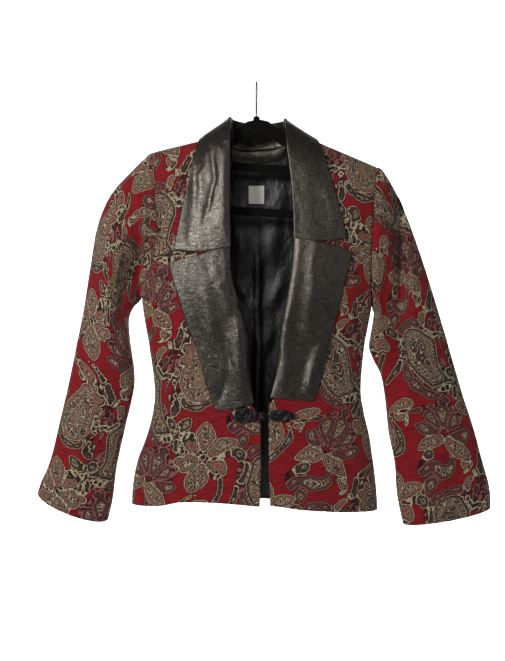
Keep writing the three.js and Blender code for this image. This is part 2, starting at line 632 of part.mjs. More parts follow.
function hangerBody() {
  const span = (from, to, count) => Array.from({ length: count + 1 }, (_, i) => mix(from, to, i / count));
  const rightEnd = armEnd(HANGER_RIGHT + END_ROUND, 90 + degrees(Math.atan(SLOPE_RIGHT)), 180).reverse();
  const leftEnd = armEnd(HANGER_LEFT - END_ROUND, 90 - degrees(Math.atan(SLOPE_LEFT)), 0);
  const armXs = span(rightEnd.at(-1).x, leftEnd[0].x, 26).slice(1, -1);
  const top = armXs.map((x) => new THREE.Vector2(x, armTop(x)));
  const low = TROUSER_BAR.bottom + LOW_ROUND;
  const lowCorner = (x, from, to) => roundCorner(x, low - TILT * x, LOW_ROUND, from, to);
  const leftLow = lowCorner(HANGER_LEFT - 8 - LOW_ROUND, 0, -90);
  const rightLow = lowCorner(HANGER_RIGHT + 8 + LOW_ROUND, -90, -180);
  const outline = new THREE.Shape([...top, ...leftEnd, ...leftLow, ...rightLow, ...rightEnd].reverse());
  const upper = span(UPPER_GAP.right, UPPER_GAP.left, 9).map((x) => new THREE.Vector2(x, armUnder(x)));
  const tieTop = [tilted(UPPER_GAP.left, TIE_BAR.top + 1), tilted(UPPER_GAP.right, TIE_BAR.top + 1)];
  outline.holes.push(new THREE.Path([...upper, ...tieTop]));
  const { inset, slant, round } = LOWER_GAP;
  const gapCorner = (x, z, radius, from, to) => roundCorner(x, z - TILT * x, radius, from, to);
  const gapHigh = TIE_BAR.bottom - round / 2;
  const gapLow = TROUSER_BAR.top + round;
  outline.holes.push(new THREE.Path([
    ...gapCorner(HANGER_RIGHT + inset + slant + round, gapLow, round, 270, 180),
    ...gapCorner(HANGER_RIGHT + inset + round, gapHigh, round / 2, 180, 90),
    ...gapCorner(HANGER_LEFT - inset - round, gapHigh, round / 2, 90, 0),
    ...gapCorner(HANGER_LEFT - inset - slant - round, gapLow, round, 0, -90),
  ]));
  const plate = new THREE.ExtrudeGeometry(outline, {
    depth: HANGER_THICK, bevelEnabled: false, curveSegments: 4,
  });
  plate.translate(0, 0, -HANGER_THICK / 2);
  plate.rotateX(Math.PI / 2);
  return plate;
}

// The neck: a short round boss in which the hook turns.
function hangerNeck() {
  const low = armTop(0) + SEAM_GAP;
  const boss = new THREE.CylinderGeometry(5, 5.6, NECK_TOP - low, 14);
  boss.rotateX(Math.PI / 2);
  boss.translate(0, 0, (NECK_TOP + low) / 2);
  return boss;
}

function hangerHook() {
  const centreZ = WIRE / 2 - HOOK_RADIUS;
  const shankTop = centreZ - HOOK_RADIUS - 5;
  const arc = Array.from({ length: 15 }, (_, index) => {
    const angle = THREE.MathUtils.degToRad(mix(-52, 205, index / 14));
    return new THREE.Vector3(0, HOOK_RADIUS * Math.cos(angle), centreZ + HOOK_RADIUS * Math.sin(angle));
  });
  const shank = [new THREE.Vector3(0, 0, NECK_TOP + SEAM_GAP), new THREE.Vector3(0, 0, shankTop)];
  return cord([...shank, ...arc], WIRE, 8, 34);
}

// ---------------------------------------------------------------- the whole object
const group = new THREE.Group();

function add(name, geometry, colour, roughness = 0.85, metalness = 0) {
  const material = new THREE.MeshStandardMaterial({ color: COLOURS[colour], roughness, metalness });
  const mesh = new THREE.Mesh(geometry, material);
  mesh.name = name;
  group.add(mesh);
}

const endColumn = FRONT_COLUMNS + SIDE_COLUMNS;
add('front_right', frontPanel('right', 0, FRONT_COLUMNS), 'brocade');
add('side_front_right', frontPanel('right', FRONT_COLUMNS, endColumn), 'brocade');
add('front_left', frontPanel('left', 0, FRONT_COLUMNS), 'brocade');
add('side_front_left', frontPanel('left', FRONT_COLUMNS, endColumn), 'brocade');
add('back', backPanel(), 'brocade');
add('sleeve_right', sleeve('right', SLEEVE_RIGHT, FOLDS_RIGHT), 'brocade');
add('sleeve_left', sleeve('left', SLEEVE_LEFT, FOLDS_LEFT), 'brocade');
add('lapel_right', lapel(LAPEL_RIGHT), 'taffeta', 0.4);
add('lapel_left', lapel(LAPEL_LEFT), 'taffeta', 0.4);
add('collar', collarFall(), 'taffeta', 0.4);
add('collar_stand', collarStand(), 'taffeta', 0.4);
add('neck_facing', neckFacing(), 'taffeta', 0.4);
add('lining_back', liningBack(), 'satin', 0.35);
add('label', blankLabel(), 'label');
add('frog_right', frogLobe(-19, -542, 17.5, 12.5, 0, 1.4), 'cord', 0.6);
add('frog_left', frogLobe(41, -542, 21, 12, Math.PI, 16.7), 'cord', 0.6);
add('frog_knot', frogKnot(), 'cord', 0.6);
add('hanger', hangerBody(), 'velvet', 0.95);
add('hanger_neck', hangerNeck(), 'velvet', 0.95);
add('hanger_hook', hangerHook(), 'steel', 0.3, 1);

export default group;
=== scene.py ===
# %% [markdown]
# # A brocade blazer on its hanger
# The object is a short fitted blazer. Its cloth is a figured brocade: crimson ground, with paisleys,
# flowers and scrolls woven in taupe, brown, cream and dusty pink. The collar and lapels are crisp
# charcoal taffeta, the lining is black satin, and a frog of braided black cord closes the front.
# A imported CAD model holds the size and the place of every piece. Here each plain solid gets a finer
# cloth skin that lies in the same place, and then a material that shows how it is woven.

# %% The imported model
import json
import math

import bmesh
import bpy
import numpy as np
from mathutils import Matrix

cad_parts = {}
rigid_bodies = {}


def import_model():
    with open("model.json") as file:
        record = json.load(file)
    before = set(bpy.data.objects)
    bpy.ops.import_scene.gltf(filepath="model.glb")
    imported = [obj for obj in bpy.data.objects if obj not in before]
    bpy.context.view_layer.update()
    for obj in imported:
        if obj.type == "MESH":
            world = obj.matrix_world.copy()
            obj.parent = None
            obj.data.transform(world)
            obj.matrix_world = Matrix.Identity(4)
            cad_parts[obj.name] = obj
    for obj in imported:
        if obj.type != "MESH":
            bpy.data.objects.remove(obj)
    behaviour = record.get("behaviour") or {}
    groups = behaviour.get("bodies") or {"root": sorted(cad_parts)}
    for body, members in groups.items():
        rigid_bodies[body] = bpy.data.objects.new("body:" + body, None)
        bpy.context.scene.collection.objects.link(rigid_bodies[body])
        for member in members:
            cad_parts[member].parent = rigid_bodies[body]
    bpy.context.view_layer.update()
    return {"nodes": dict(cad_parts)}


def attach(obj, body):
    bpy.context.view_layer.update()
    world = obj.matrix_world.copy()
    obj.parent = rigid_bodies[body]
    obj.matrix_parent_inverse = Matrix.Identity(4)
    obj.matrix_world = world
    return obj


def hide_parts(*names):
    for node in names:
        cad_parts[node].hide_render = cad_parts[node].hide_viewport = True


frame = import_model()

# %% [markdown]
# ## Camera and room
# The blazer hangs at eye height, so the camera looks level along +Y from 1.4 m in front of it.
# The frame of 505 by 661 pixels is upright: its 36 mm of film lie along the height.
# The room is one pale sweep, floor and wall in one, so no line shows behind the cloth.
# A satin or taffeta only looks like itself when it has something to mirror, so a soft lamp stands on
# the left like a window, and weaker ones fill the right side and the front. Six more light the wall.

# %% Camera
MM = 0.001
VIEW_DISTANCE = 1.4
VIEW_CENTRE = (-0.0066, -0.4068)      # X and Z of the middle of the view, in metres
VIEW_HEIGHT = 1.0907                  # height of the view at the hanger, in metres

scene = bpy.context.scene


def new_object(name, data):
    """A new object, in the scene."""
    thing = bpy.data.objects.new(name, data)
    scene.collection.objects.link(thing)
    return thing


camera_data = bpy.data.cameras.new("camera")
camera_data.sensor_fit = "VERTICAL"
camera_data.sensor_height = 36
camera_data.lens = camera_data.sensor_height * VIEW_DISTANCE / VIEW_HEIGHT
camera = new_object("camera", camera_data)
camera.location = (VIEW_CENTRE[0], -VIEW_DISTANCE, VIEW_CENTRE[1])
camera.rotation_euler = (math.radians(90), 0, 0)
scene.camera = camera
print("lens:", round(camera_data.lens, 1), "mm")

# %% Sweep of floor and wall
FLOOR_START, FLOOR_Z, WALL_Y, WALL_TOP = -3.0, -1.9, 2.6, 3.2
BEND, HALF_WIDTH = 0.5, 3.5
PAPER = 0.93


def finish_material(name, settings):
    """A material whose Principled shader has plain values on its sockets, ready for more nodes."""
    material = bpy.data.materials.new(name)
    material.use_nodes = True
    shader = material.node_tree.nodes["Principled BSDF"]
    for socket, value in settings.items():
        shader.inputs[socket].default_value = value
    return material, material.node_tree, shader.inputs


profile = [(FLOOR_START, FLOOR_Z)]
for turn in np.radians(np.linspace(0, 90, 13)):
    profile.append((WALL_Y - BEND + BEND * math.sin(turn), FLOOR_Z + BEND - BEND * math.cos(turn)))
profile.append((WALL_Y, WALL_TOP))
sweep_mesh = bpy.data.meshes.new("sweep")
sweep_mesh.from_pydata([(x, y, z) for y, z in profile for x in (-HALF_WIDTH, HALF_WIDTH)], [],
                       [(2 * k, 2 * k + 1, 2 * k + 3, 2 * k + 2) for k in range(len(profile) - 1)])
sweep_mesh.polygons.foreach_set("use_smooth", np.ones(len(sweep_mesh.polygons), bool))
sweep_mesh.materials.append(finish_material("pale_paper", {
    "Base Color": (PAPER, PAPER, PAPER, 1), "Roughness": 0.9})[0])
new_object("sweep", sweep_mesh)
print("sweep of", len(sweep_mesh.polygons), "faces")

# %% Lamps
scene.view_settings.view_transform = "Standard"
world = bpy.data.worlds.new("room")
world.use_nodes = True
background = world.node_tree.nodes["Background"].inputs
background["Color"].default_value = (1, 1, 1, 1)
background["Strength"].default_value = 0.12
scene.world = world


def soft_lamp(name, place, target, size, power):
    """A square lamp that faces a target."""
    lamp_data = bpy.data.lights.new(name, "AREA")
    lamp_data.size = size
    lamp_data.energy = power
    lamp = new_object(name, lamp_data)
    lamp.location = place
    towards = [b - a for a, b in zip(place, target)]
    level = math.hypot(towards[0], towards[1])
    lamp.rotation_euler = (math.atan2(level, -towards[2]), 0, math.atan2(-towards[0], towards[1]))


soft_lamp("window", (-1.15, -1.55, 0.25), (0, 0, -0.35), 0.5, 23)
soft_lamp("front_fill", (1.7, -1.6, 0.3), (0, 0, -0.4), 1.2, 3)
soft_lamp("upper_fill", (-0.3, -1.7, 0.55), (0, 0, -0.3), 0.6, 5)
for side in (-1, 1):
    for height, power in ((0.5, 32), (-0.5, 26), (-1.4, 26)):
        place, target = (side * 1.55, WALL_Y - 0.95, height), (side * 0.6, WALL_Y, height)
        soft_lamp("wall_wash", place, target, 1.0, power)

# %% [markdown]
# ## The form of the body
# A jacket on a flat hanger is two shallow shells, front and back, that meet along the shoulders and
# the side seams. A few short tables say how wide and deep they are at each height, all in
# millimetres. The same tables drive the CAD solids, so each skin lies where its solid lies.
# A table is read smoothly between its rows with a Catmull-Rom curve, which passes through each row.

# %% Reading a table
def table(columns, rows):
    return {name: np.array([row[k] for row in rows], float) for k, name in enumerate(columns.split())}


def at_row(rows, place, column):
    """Smooth value of a column at a row number, which may lie between two rows."""
    values = rows[column]
    last = len(values) - 1
    place = np.clip(np.asarray(place, float), 0, last)
    index = np.minimum(np.floor(place).astype(int), last - 1)
    share = place - index
    before, start, end, after = (values[np.clip(index + step, 0, last)] for step in (-1, 0, 1, 2))
    return (start * (2 * share**3 - 3 * share**2 + 1) + end * (3 * share**2 - 2 * share**3)
            + (end - before) / 2 * (share**3 - 2 * share**2 + share)
            + (after - start) / 2 * (share**3 - share**2))


def at_key(rows, key, wanted, column):
    """The same, found by the value of a key column that rises all the way."""
    keys = rows[key]
    index = np.clip(np.searchsorted(keys, wanted, side="right") - 1, 0, len(keys) - 2)
    share = np.clip((wanted - keys[index]) / (keys[index + 1] - keys[index]), 0, 1)
    return at_row(rows, index + share, column)


def mix(a, b, share):
    return a + (b - a) * share


def hump(distance, width):
    """A smooth bump: 1 in the middle, almost 0 past twice the width."""
    return np.exp(-((distance / width) ** 2))


# %% Tables of the body
BODY = table("z front back right left", [
    (-710, 55, 52, -206, 200), (-660, 53, 50, -204, 197), (-620, 51, 47, -196, 192),
    (-580, 49, 44, -181, 186), (-541, 47, 40, -171, 177), (-505, 46, 38, -168, 172),
    (-432, 49, 41, -177, 178), (-373, 54, 44, -187, 189), (-334, 56, 46, -191, 196),
    (-290, 55, 45, -196, 204), (-230, 50, 42, -202, 214), (-150, 44, 36, -205, 222),
    (-60, 42, 33, -205, 222)])
HEM = table("x front back", [
    (-210, -691, -691), (-156, -688, -692), (-124, -681, -693), (-80, -680, -693), (-30, -683, -693),
    (5, -686, -693), (22, -685, -694), (66, -691, -695), (113, -695, -697), (160, -698, -699),
    (202, -700, -700)])
ARMHOLE = table("rise right left", [
    (0, -188.5, 189.5), (0.1, -181, 187), (0.2, -172, 186), (0.33, -164, 185.5), (0.45, -161, 186),
    (0.6, -163, 188), (0.75, -165, 191), (0.9, -166, 195), (1, -166, 197)])
FRONT_EDGE = table("z right left", [
    (-700, 4, 22), (-611, 6, 20), (-563, 6, 20), (-545, 4, 20), (-530, -3, 20), (-516, -16, 30),
    (-500, -20, 41), (-452, -25, 49), (-417, -26, 53), (-379, -37, 60), (-341, -49, 66),
    (-300, -54, 69), (-223, -54, 70), (-160, -56, 67), (-86, -60, 62)])
PRINCESS = table("z right left", [
    (-700, -97, 109), (-629, -99, 113), (-565, -101, 123), (-517, -101, 128), (-440, -100, 127),
    (-277, -88, 110), (-110, -76, 86)])
print("tables of the body:", len(BODY["z"]), "heights")

# %% Sizes of the body
CLOTH = 1.6                 # brocade with its interlining
SEAM_GAP = 0.3
APEX_X = 10                 # middle of the body
NECK_MIDDLE, NECK_X = 2, 60
NECK_Z_RIGHT, NECK_Z_LEFT = -86, -80
SLOPE_RIGHT, SLOPE_LEFT = 0.24, 0.42
NECK_RISE, NECK_DROP, NECK_FLATNESS = 12, 22, 3.6
SHOULDER_ROUND = 90
BODY_POWER = 3
UNDERARM_Z, UNDERARM_TILT = -360, -0.047
UNDERARM_X = {"right": -185, "left": 188}


def shoulder_line(x):
    across = (np.asarray(x, float) - NECK_MIDDLE) / NECK_X
    between = mix(NECK_Z_RIGHT, NECK_Z_LEFT, (across + 1) / 2) + NECK_RISE * (1 - across**2)
    right = NECK_Z_RIGHT + (across + 1) * NECK_X * SLOPE_RIGHT
    left = NECK_Z_LEFT - (across - 1) * NECK_X * SLOPE_LEFT
    return np.where(across < -1, right, np.where(across > 1, left, between))


def underarm_line(x):
    return UNDERARM_Z + UNDERARM_TILT * x


def depth_at(face, x, z, lift=0.0, crest=None):
    """Depth of the front or back shell at a place, lifted off the cloth by a clearance."""
    crest = shoulder_line(x) if crest is None else crest
    below = np.clip((crest + lift - z) / SHOULDER_ROUND, 0, 1)
    side = np.where(x < APEX_X, at_key(BODY, "z", z, "right"), at_key(BODY, "z", z, "left"))
    across = np.clip(np.abs(x - APEX_X) / (np.abs(side - APEX_X) + lift), 0, 1)
    rounded = np.sqrt(1 - (1 - below) ** 2) * np.sqrt(1 - across**BODY_POWER)
    return (at_key(BODY, "z", z, face) + lift) * rounded


def front_y(x, z, lift=0.0, crest=None):
    return -depth_at("front", x, z, lift, crest)


def back_y(x, z, lift=0.0):
    return depth_at("back", x, z, lift)


def back_top(x):
    across = (np.asarray(x, float) - NECK_MIDDLE) / NECK_X
    dip = NECK_DROP * (1 - np.minimum(np.abs(across), 1) ** NECK_FLATNESS)
    neck = mix(NECK_Z_RIGHT, NECK_Z_LEFT, (across + 1) / 2) - dip
    return np.where(np.abs(across) >= 1, shoulder_line(x), neck)


def row_height(x, row, hem_face, top):
    """Rows 0 to 1 run from the hem to the underarm, 1 to 2 on to the top edge."""
    hem = at_key(HEM, "x", x, hem_face)
    under = underarm_line(x)
    return np.where(row <= 1, mix(hem, under, row), mix(under, top(x), row - 1))


def outer_edge(side, row, hem_face, top):
    """The side seam, then the armhole."""
    height = row_height(np.full_like(row, UNDERARM_X[side]), np.minimum(row, 1), hem_face, top)
    return np.where(row >= 1, at_key(ARMHOLE, "rise", row - 1, side), at_key(BODY, "z", height, side))


print("shoulder seams at x = -100 and 100:", shoulder_line(-100).round(1), shoulder_line(100).round(1))

# %% [markdown]
# ## Cloth as a thin shell
# Each maker's piece of cloth is a closed shell: an outer skin, an inner skin one cloth thickness away
# and a rim between them. A free edge, such as a hem, has its rim pushed out a little, because a turned
# edge is round. A grid of points is the simplest way to make the skins: its rows and columns also give
# the grain of the cloth, so a woven pattern can follow it.
# Values for the pattern are stored on face corners, not on points. A sleeve is one tube, and corners
# let its pattern start and stop at the underarm seam while the surface stays closed.

# %% Normals and shells
def unit(vectors):
    return vectors / np.maximum(np.linalg.norm(vectors, axis=-1, keepdims=True), 1e-9)


def grid_normals(grid, closed=False, middle=None):
    """Outward normals of a grid of points; outward is away from a middle point."""
    if closed:
        along = np.roll(grid, -1, axis=1) - np.roll(grid, 1, axis=1)
    else:
        along = np.gradient(grid, axis=1)
    normals = unit(np.cross(along, np.gradient(grid, axis=0)))
    middle = np.array([APEX_X, 0, -400]) if middle is None else middle
    away = np.sum(normals * (grid - middle), axis=-1)
    return normals if np.median(away) > 0 else -normals


def relax(grid, passes, closed=False):
    """Evens out a grid, without moving its border."""
    grid = grid.copy()
    for _ in range(passes):
        smooth = grid.copy()
        smooth[1:-1] = (grid[:-2] + 2 * grid[1:-1] + grid[2:]) / 4
        if closed:
            grid[1:-1] = ((np.roll(smooth, 1, 1) + 2 * smooth + np.roll(smooth, -1, 1)) / 4)[1:-1]
        else:
            grid[1:-1, 1:-1] = ((smooth[:, :-2] + 2 * smooth[:, 1:-1] + smooth[:, 2:]) / 4)[1:-1]
    return grid


def border_loops(rows, columns, closed):
    """Grid places (row, column) of each edge of the cloth, in order."""
    if closed:
        return [[(i, j) for j in range(columns + 1)] for i in (0, rows - 1)]
    there = [(0, j) for j in range(columns)] + [(i, columns - 1) for i in range(1, rows)]
    return [there + [(rows - 1, j) for j in range(columns - 2, -1, -1)]
            + [(i, 0) for i in range(rows - 2, -1, -1)]]


def lengths_down(points):
    """Length down each column of points, from its first row."""
    steps = np.linalg.norm(np.diff(points, axis=0), axis=-1)
    return np.concatenate([np.zeros_like(steps[:1]), np.cumsum(steps, axis=0)])


def across_lengths(grid, column):
    """Length along each row, counted from one column."""
    length = lengths_down(grid.swapaxes(0, 1)).T
    return length - length[:, column:column + 1]


corner_places = {}          # for each piece, the grid place that each face corner stands on


def shell(name, grid, normals, thick, closed=False, roundness=None):
    """A closed shell under an outer skin. roundness gives how far the rim stands out at a grid place."""
    rows, columns = grid.shape[:2]
    spare = columns + 1 if closed else columns          # a tube has its seam column twice
    inner = grid - normals * thick
    points = [grid.reshape(-1, 3), inner.reshape(-1, 3)]
    count = rows * columns
    i, j = np.meshgrid(np.arange(rows - 1), np.arange(spare - 1), indexing="ij")
    corners = np.stack([(i, j), (i, j + 1), (i + 1, j + 1), (i + 1, j)], axis=-1).reshape(2, -1, 4)
    vertex = corners[0] * columns + corners[1] % columns
    place = corners[0] * spare + corners[1]
    quads = [vertex, count + vertex[:, ::-1]]
    places = [place, place[:, ::-1]]
    inside = [np.zeros(len(vertex), int), np.ones(len(vertex), int)]
    total = 2 * count
    for loop in border_loops(rows, columns, closed):
        at = np.array(loop)
        index = at[:, 0] * columns + at[:, 1] % columns
        outer_line, inner_line = points[0][index], points[1][index]
        row = np.clip(at[:, 0], 1, rows - 2)
        column = at[:, 1] % columns if closed else np.clip(at[:, 1], 1, columns - 2)
        outward = unit(outer_line - points[0][row * columns + column])
        amount = np.array([roundness(a, b) if roundness else 0.0 for a, b in loop])[:, None]
        middle_line = (outer_line + inner_line) / 2 + outward * amount
        points.append(middle_line[:-1])
        ring = total + np.append(np.arange(len(loop) - 1), 0)
        total += len(loop) - 1
        grid_place = at[:, 0] * spare + at[:, 1]
        for first, second in ((index, ring), (ring, count + index)):
            quads.append(np.stack([first[1:], first[:-1], second[:-1], second[1:]], axis=1))
            places.append(np.stack([grid_place[1:], grid_place[:-1]] * 2, axis=1)[:, [0, 1, 3, 2]])
            inside.append(np.zeros(len(loop) - 1, int))
    points, quads, places = np.concatenate(points), np.concatenate(quads), np.concatenate(places)
    if closed:                                          # the far ring's rim faces the other way
        start = 2 * (rows - 1) * (spare - 1)
        far = slice(start + 2 * columns, start + 4 * columns)
        quads[far], places[far] = quads[far, ::-1], places[far, ::-1]
    a, b, c = points[vertex[:, 0]], points[vertex[:, 1]], points[vertex[:, 2]]
    if np.sum(np.cross(b - a, c - a) * normals[corners[0][:, 0], corners[1][:, 0] % columns]) < 0:
        quads, places = quads[:, ::-1], places[:, ::-1]
    mesh = bpy.data.meshes.new(name)
    mesh.from_pydata((points * MM).tolist(), [], quads.tolist())
    mesh.polygons.foreach_set("material_index", np.concatenate(inside))
    mesh.polygons.foreach_set("use_smooth", np.ones(len(quads), bool))
    mesh.set_sharp_from_angle(angle=math.radians(60))
    corner_places[name] = places.ravel()
    return new_object(name, mesh)


def set_corners(piece, attribute, values):
    """Stores three numbers for each face corner, given one triple for each grid place."""
    data = piece.data.attributes.new(attribute, "FLOAT_VECTOR", "CORNER")
    data.data.foreach_set("vector", values.reshape(-1, 3)[corner_places[piece.name]].ravel())


def line_relief(x, z, creases):
    """Soft ridges and troughs along straight lines, in millimetres."""
    total = np.zeros(np.broadcast(x, z).shape)
    for x1, z1, x2, z2, width, height in zip(*creases.values()):
        share = ((x - x1) * (x2 - x1) + (z - z1) * (z2 - z1)) / ((x2 - x1) ** 2 + (z2 - z1) ** 2)
        share = np.clip(share, 0, 1)
        away = np.hypot(x - mix(x1, x2, share), z - mix(z1, z2, share))
        total += height * hump(away, width) * np.sin(np.pi * (0.12 + 0.76 * share))
    return total


print("shells are ready")

# %% [markdown]
# ## Fronts and back
# Each half front is cut in two along the princess seam, which lets a flat cloth follow the bust and
# the waist. The brocade is stiff, so it has only a few soft creases: drags towards the fastening at
# the waist and slack cloth near the armholes. They are listed in one table for the front and
# one for the back, and both panels of a half front read the same table, so a crease runs over the
# seam. Along each seam the cloth sinks a little and puckers.

# %% Creases of the body
CREASE_COLUMNS = "x1 z1 x2 z2 width height"
FRONT_CREASES = table(CREASE_COLUMNS, [
    (-158, -395, -112, -452, 13, 1.6), (-160, -470, -95, -520, 12, -1.8), (-128, -500, -60, -548, 10, 1.5),
    (-150, -560, -118, -655, 16, 1.7), (-70, -585, -48, -672, 15, -1.4), (-142, -300, -150, -372, 9, -2.2),
    (-128, -178, -146, -270, 12, 1.5), (-92, -560, -30, -575, 9, 1.1),
    (168, -410, 124, -462, 13, 1.7), (165, -492, 96, -528, 12, -1.9), (128, -518, 66, -556, 11, 1.3),
    (158, -575, 138, -670, 15, 1.8), (78, -588, 62, -676, 16, -1.5), (172, -280, 166, -372, 10, -2.4),
    (150, -190, 170, -262, 12, 1.6), (104, -556, 44, -580, 9, 1.2)])
BACK_CREASES = table(CREASE_COLUMNS, [
    (-140, -230, -120, -360, 17, -2.0), (-60, -160, -82, -300, 20, 1.6), (20, -180, 26, -330, 18, -1.2),
    (120, -210, 132, -350, 16, -2.1), (68, -330, 104, -430, 15, 1.6), (-96, -420, -20, -470, 13, 1.7),
    (-130, -505, -40, -540, 12, -1.8), (30, -468, 128, -505, 12, 1.8), (58, -540, 140, -575, 14, -1.6),
    (-110, -590, -92, -680, 18, 1.9), (-20, -575, -8, -684, 22, -1.6), (92, -600, 108, -690, 18, 2.0)])


def front_skin(x, z, lift=0.0, crest=None):
    """The front's surface with its creases."""
    return front_y(x, z, lift, crest) - line_relief(x, z, FRONT_CREASES) * np.clip((-z - 90) / 60, 0, 1)


print("creases:", len(FRONT_CREASES["x1"]), "in front,", len(BACK_CREASES["x1"]), "behind")

# %% Rows and panels
TURNED_EDGE = 0.7           # how far a turned edge bulges
FRONT_COLUMNS, SIDE_COLUMNS = 36, 44
BODY_ROWS = np.concatenate([np.arange(96) / 96, 1 + (1 - np.cos(np.linspace(0, math.pi, 78))) / 2])


SEAM_WIDTH, SEAM_DEPTH, PUCKER_DEPTH, PUCKER_REACH = 2.6, 1.0, 0.35, 7


def seam_sink(distance, length, seed):
    """How far the cloth sinks beside a seam, with small puckers along it."""
    pucker = np.sin(length / 3.1 + seed) * np.sin(length / 7.3 + 2 * seed)
    sink = -hump(distance, SEAM_WIDTH) * (SEAM_DEPTH + PUCKER_DEPTH * pucker)
    return sink + 0.3 * hump(distance - PUCKER_REACH, 4) * pucker


def half_front(side):
    near = -50 if side == "right" else 50
    row = BODY_ROWS[:, None]
    edge, seam = (at_key(line, "z", row_height(np.full_like(row, x), row, "front", shoulder_line), side)
                  for line, x in ((FRONT_EDGE, near), (PRINCESS, near * 2)))
    out = outer_edge(side, row, "front", shoulder_line)
    inner = mix(edge, seam, np.arange(FRONT_COLUMNS)[None] / FRONT_COLUMNS)
    outer = mix(seam, out, np.sin(np.arange(SIDE_COLUMNS + 1)[None] / SIDE_COLUMNS * math.pi / 2))
    x = np.concatenate([inner, outer], axis=1)
    z = row_height(x, row, "front", shoulder_line)
    grid = np.stack([x, np.minimum(front_skin(x, z), -SEAM_GAP / 2), z], axis=-1)
    return relax(grid, 3)


def front_panels(side):
    """Both panels of a half front, each with its lengths across and up the cloth."""
    grid = half_front(side)
    outward = -1 if side == "right" else 1
    across = across_lengths(grid, FRONT_COLUMNS)
    seed = 1.0 if side == "right" else 2.6
    from_armhole = (across[:, -1:] - across) + 400 * (BODY_ROWS[:, None] < 1)
    sink = seam_sink(np.abs(across), grid[..., 2], seed)
    sink = sink + 0.8 * seam_sink(from_armhole, grid[..., 2], seed + 1)
    grid = grid + grid_normals(grid) * sink[..., None]
    normals = grid_normals(grid)
    made = []
    for name, first, last in ((f"front_{side}", 0, FRONT_COLUMNS),
                              (f"side_front_{side}", FRONT_COLUMNS, grid.shape[1] - 1)):
        part = grid[:, first:last + 1].copy()
        part[:, 0, 0] += outward * 0.6 * SEAM_GAP * (first > 0)
        part[:, -1, 0] -= outward * 0.6 * SEAM_GAP
        part[..., 1] = np.minimum(part[..., 1], -SEAM_GAP / 2)
        free = 0 if first == 0 else -1
        piece = shell(f"{name}_cloth", part, normals[:, first:last + 1], CLOTH,
                      roundness=lambda a, b: TURNED_EDGE if a == 0 or b == free else 0.0)
        made.append((piece, across[:, first:last + 1] * outward, part[..., 2]))
    return made


front_pieces = {side: front_panels(side) for side in ("right", "left")}
for side, made in front_pieces.items():
    print(side, [f"{piece.name}: {len(piece.data.polygons)} faces" for piece, _, _ in made])

# %% Back
BACK_SIDE_COLUMNS, BACK_NECK_COLUMNS = 46, 36


def back_grid():
    row = BODY_ROWS[:, None]
    right, left = (outer_edge(side, row, "back", back_top) + way * 0.6 * SEAM_GAP
                   for side, way in (("right", 1), ("left", -1)))
    swing = np.sin(np.arange(BACK_SIDE_COLUMNS + 1)[None] / BACK_SIDE_COLUMNS * math.pi / 2)
    low, high = NECK_MIDDLE - NECK_X, NECK_MIDDLE + NECK_X
    neck = np.linspace(low, high, BACK_NECK_COLUMNS + 1)[None, 1:-1] + 0 * row
    x = np.concatenate([mix(low, right, swing[:, ::-1]), neck, mix(high, left, swing)], axis=1)
    z = row_height(x, row, "back", back_top)
    y = back_y(x, z) + line_relief(x, z, BACK_CREASES) * np.clip((-z - 120) / 60, 0, 1)
    return relax(np.stack([x, np.maximum(y, SEAM_GAP / 2), z], axis=-1), 3)


grid = back_grid()
across = across_lengths(grid, BACK_SIDE_COLUMNS + BACK_NECK_COLUMNS // 2)
grid = grid + grid_normals(grid) * (0.9 * seam_sink(np.abs(across), grid[..., 2], 4.0))[..., None]
grid[..., 1] = np.maximum(grid[..., 1], SEAM_GAP / 2)
back_made = (shell("back_cloth", grid, grid_normals(grid), CLOTH,
                   roundness=lambda a, b: TURNED_EDGE if a == 0 else 0.0), -across, grid[..., 2])
print("back:", len(back_made[0].data.polygons), "faces")

# %% [markdown]
# ## Sleeves
# A sleeve is a tube of rings. Each ring is an oval between the outer and the inner edge of the arm,
# and towards the shoulder the rings change into the shape of the armhole. Standing folds are bumps
# on this tube, given by the rings that they span, their place round the arm in degrees, and their
# width and height. The two deepest hang from the armhole, where the sleeve has spare cloth.

# %% Sleeve tables
SLEEVE_COLUMNS = "outX outZ inX inZ deep"
SLEEVES = {
    "right": table(SLEEVE_COLUMNS, [
        (-166, -112, -188.5, -351, 38), (-185, -124, -192, -356, 40), (-206, -145, -197, -362, 41),
        (-234, -175, -203, -370, 41), (-251, -205, -208, -379, 39), (-264, -244, -210.5, -394, 37),
        (-274, -304, -209, -418, 35), (-285, -373, -205, -446, 33), (-297, -432, -201, -474, 31),
        (-308, -486, -202, -506, 29), (-323, -551, -217, -572, 28), (-340, -620, -230, -632, 26),
        (-355, -655, -236, -682, 25), (-361, -674, -244, -717, 24)]),
    "left": table(SLEEVE_COLUMNS, [
        (197, -137, 189.5, -369, 38), (209, -146, 192, -374, 40), (225, -170, 194, -380, 41),
        (239, -198, 193, -388, 40), (257, -244, 191, -399, 38), (276, -299, 187.5, -416, 36),
        (293, -353, 185, -436, 34), (309, -406, 193, -457, 32), (325, -462, 205, -482, 31),
        (342, -519, 212, -523, 30), (358, -568, 217, -574, 29), (372, -620, 227, -624, 27),
        (384, -664, 231, -678, 25), (386, -698, 241, -725, 24)])}
CUFF_DIP = {"right": 11, "left": 4}
CAP_FADE = 3
FOLD_COLUMNS = "start end angle lean width height"
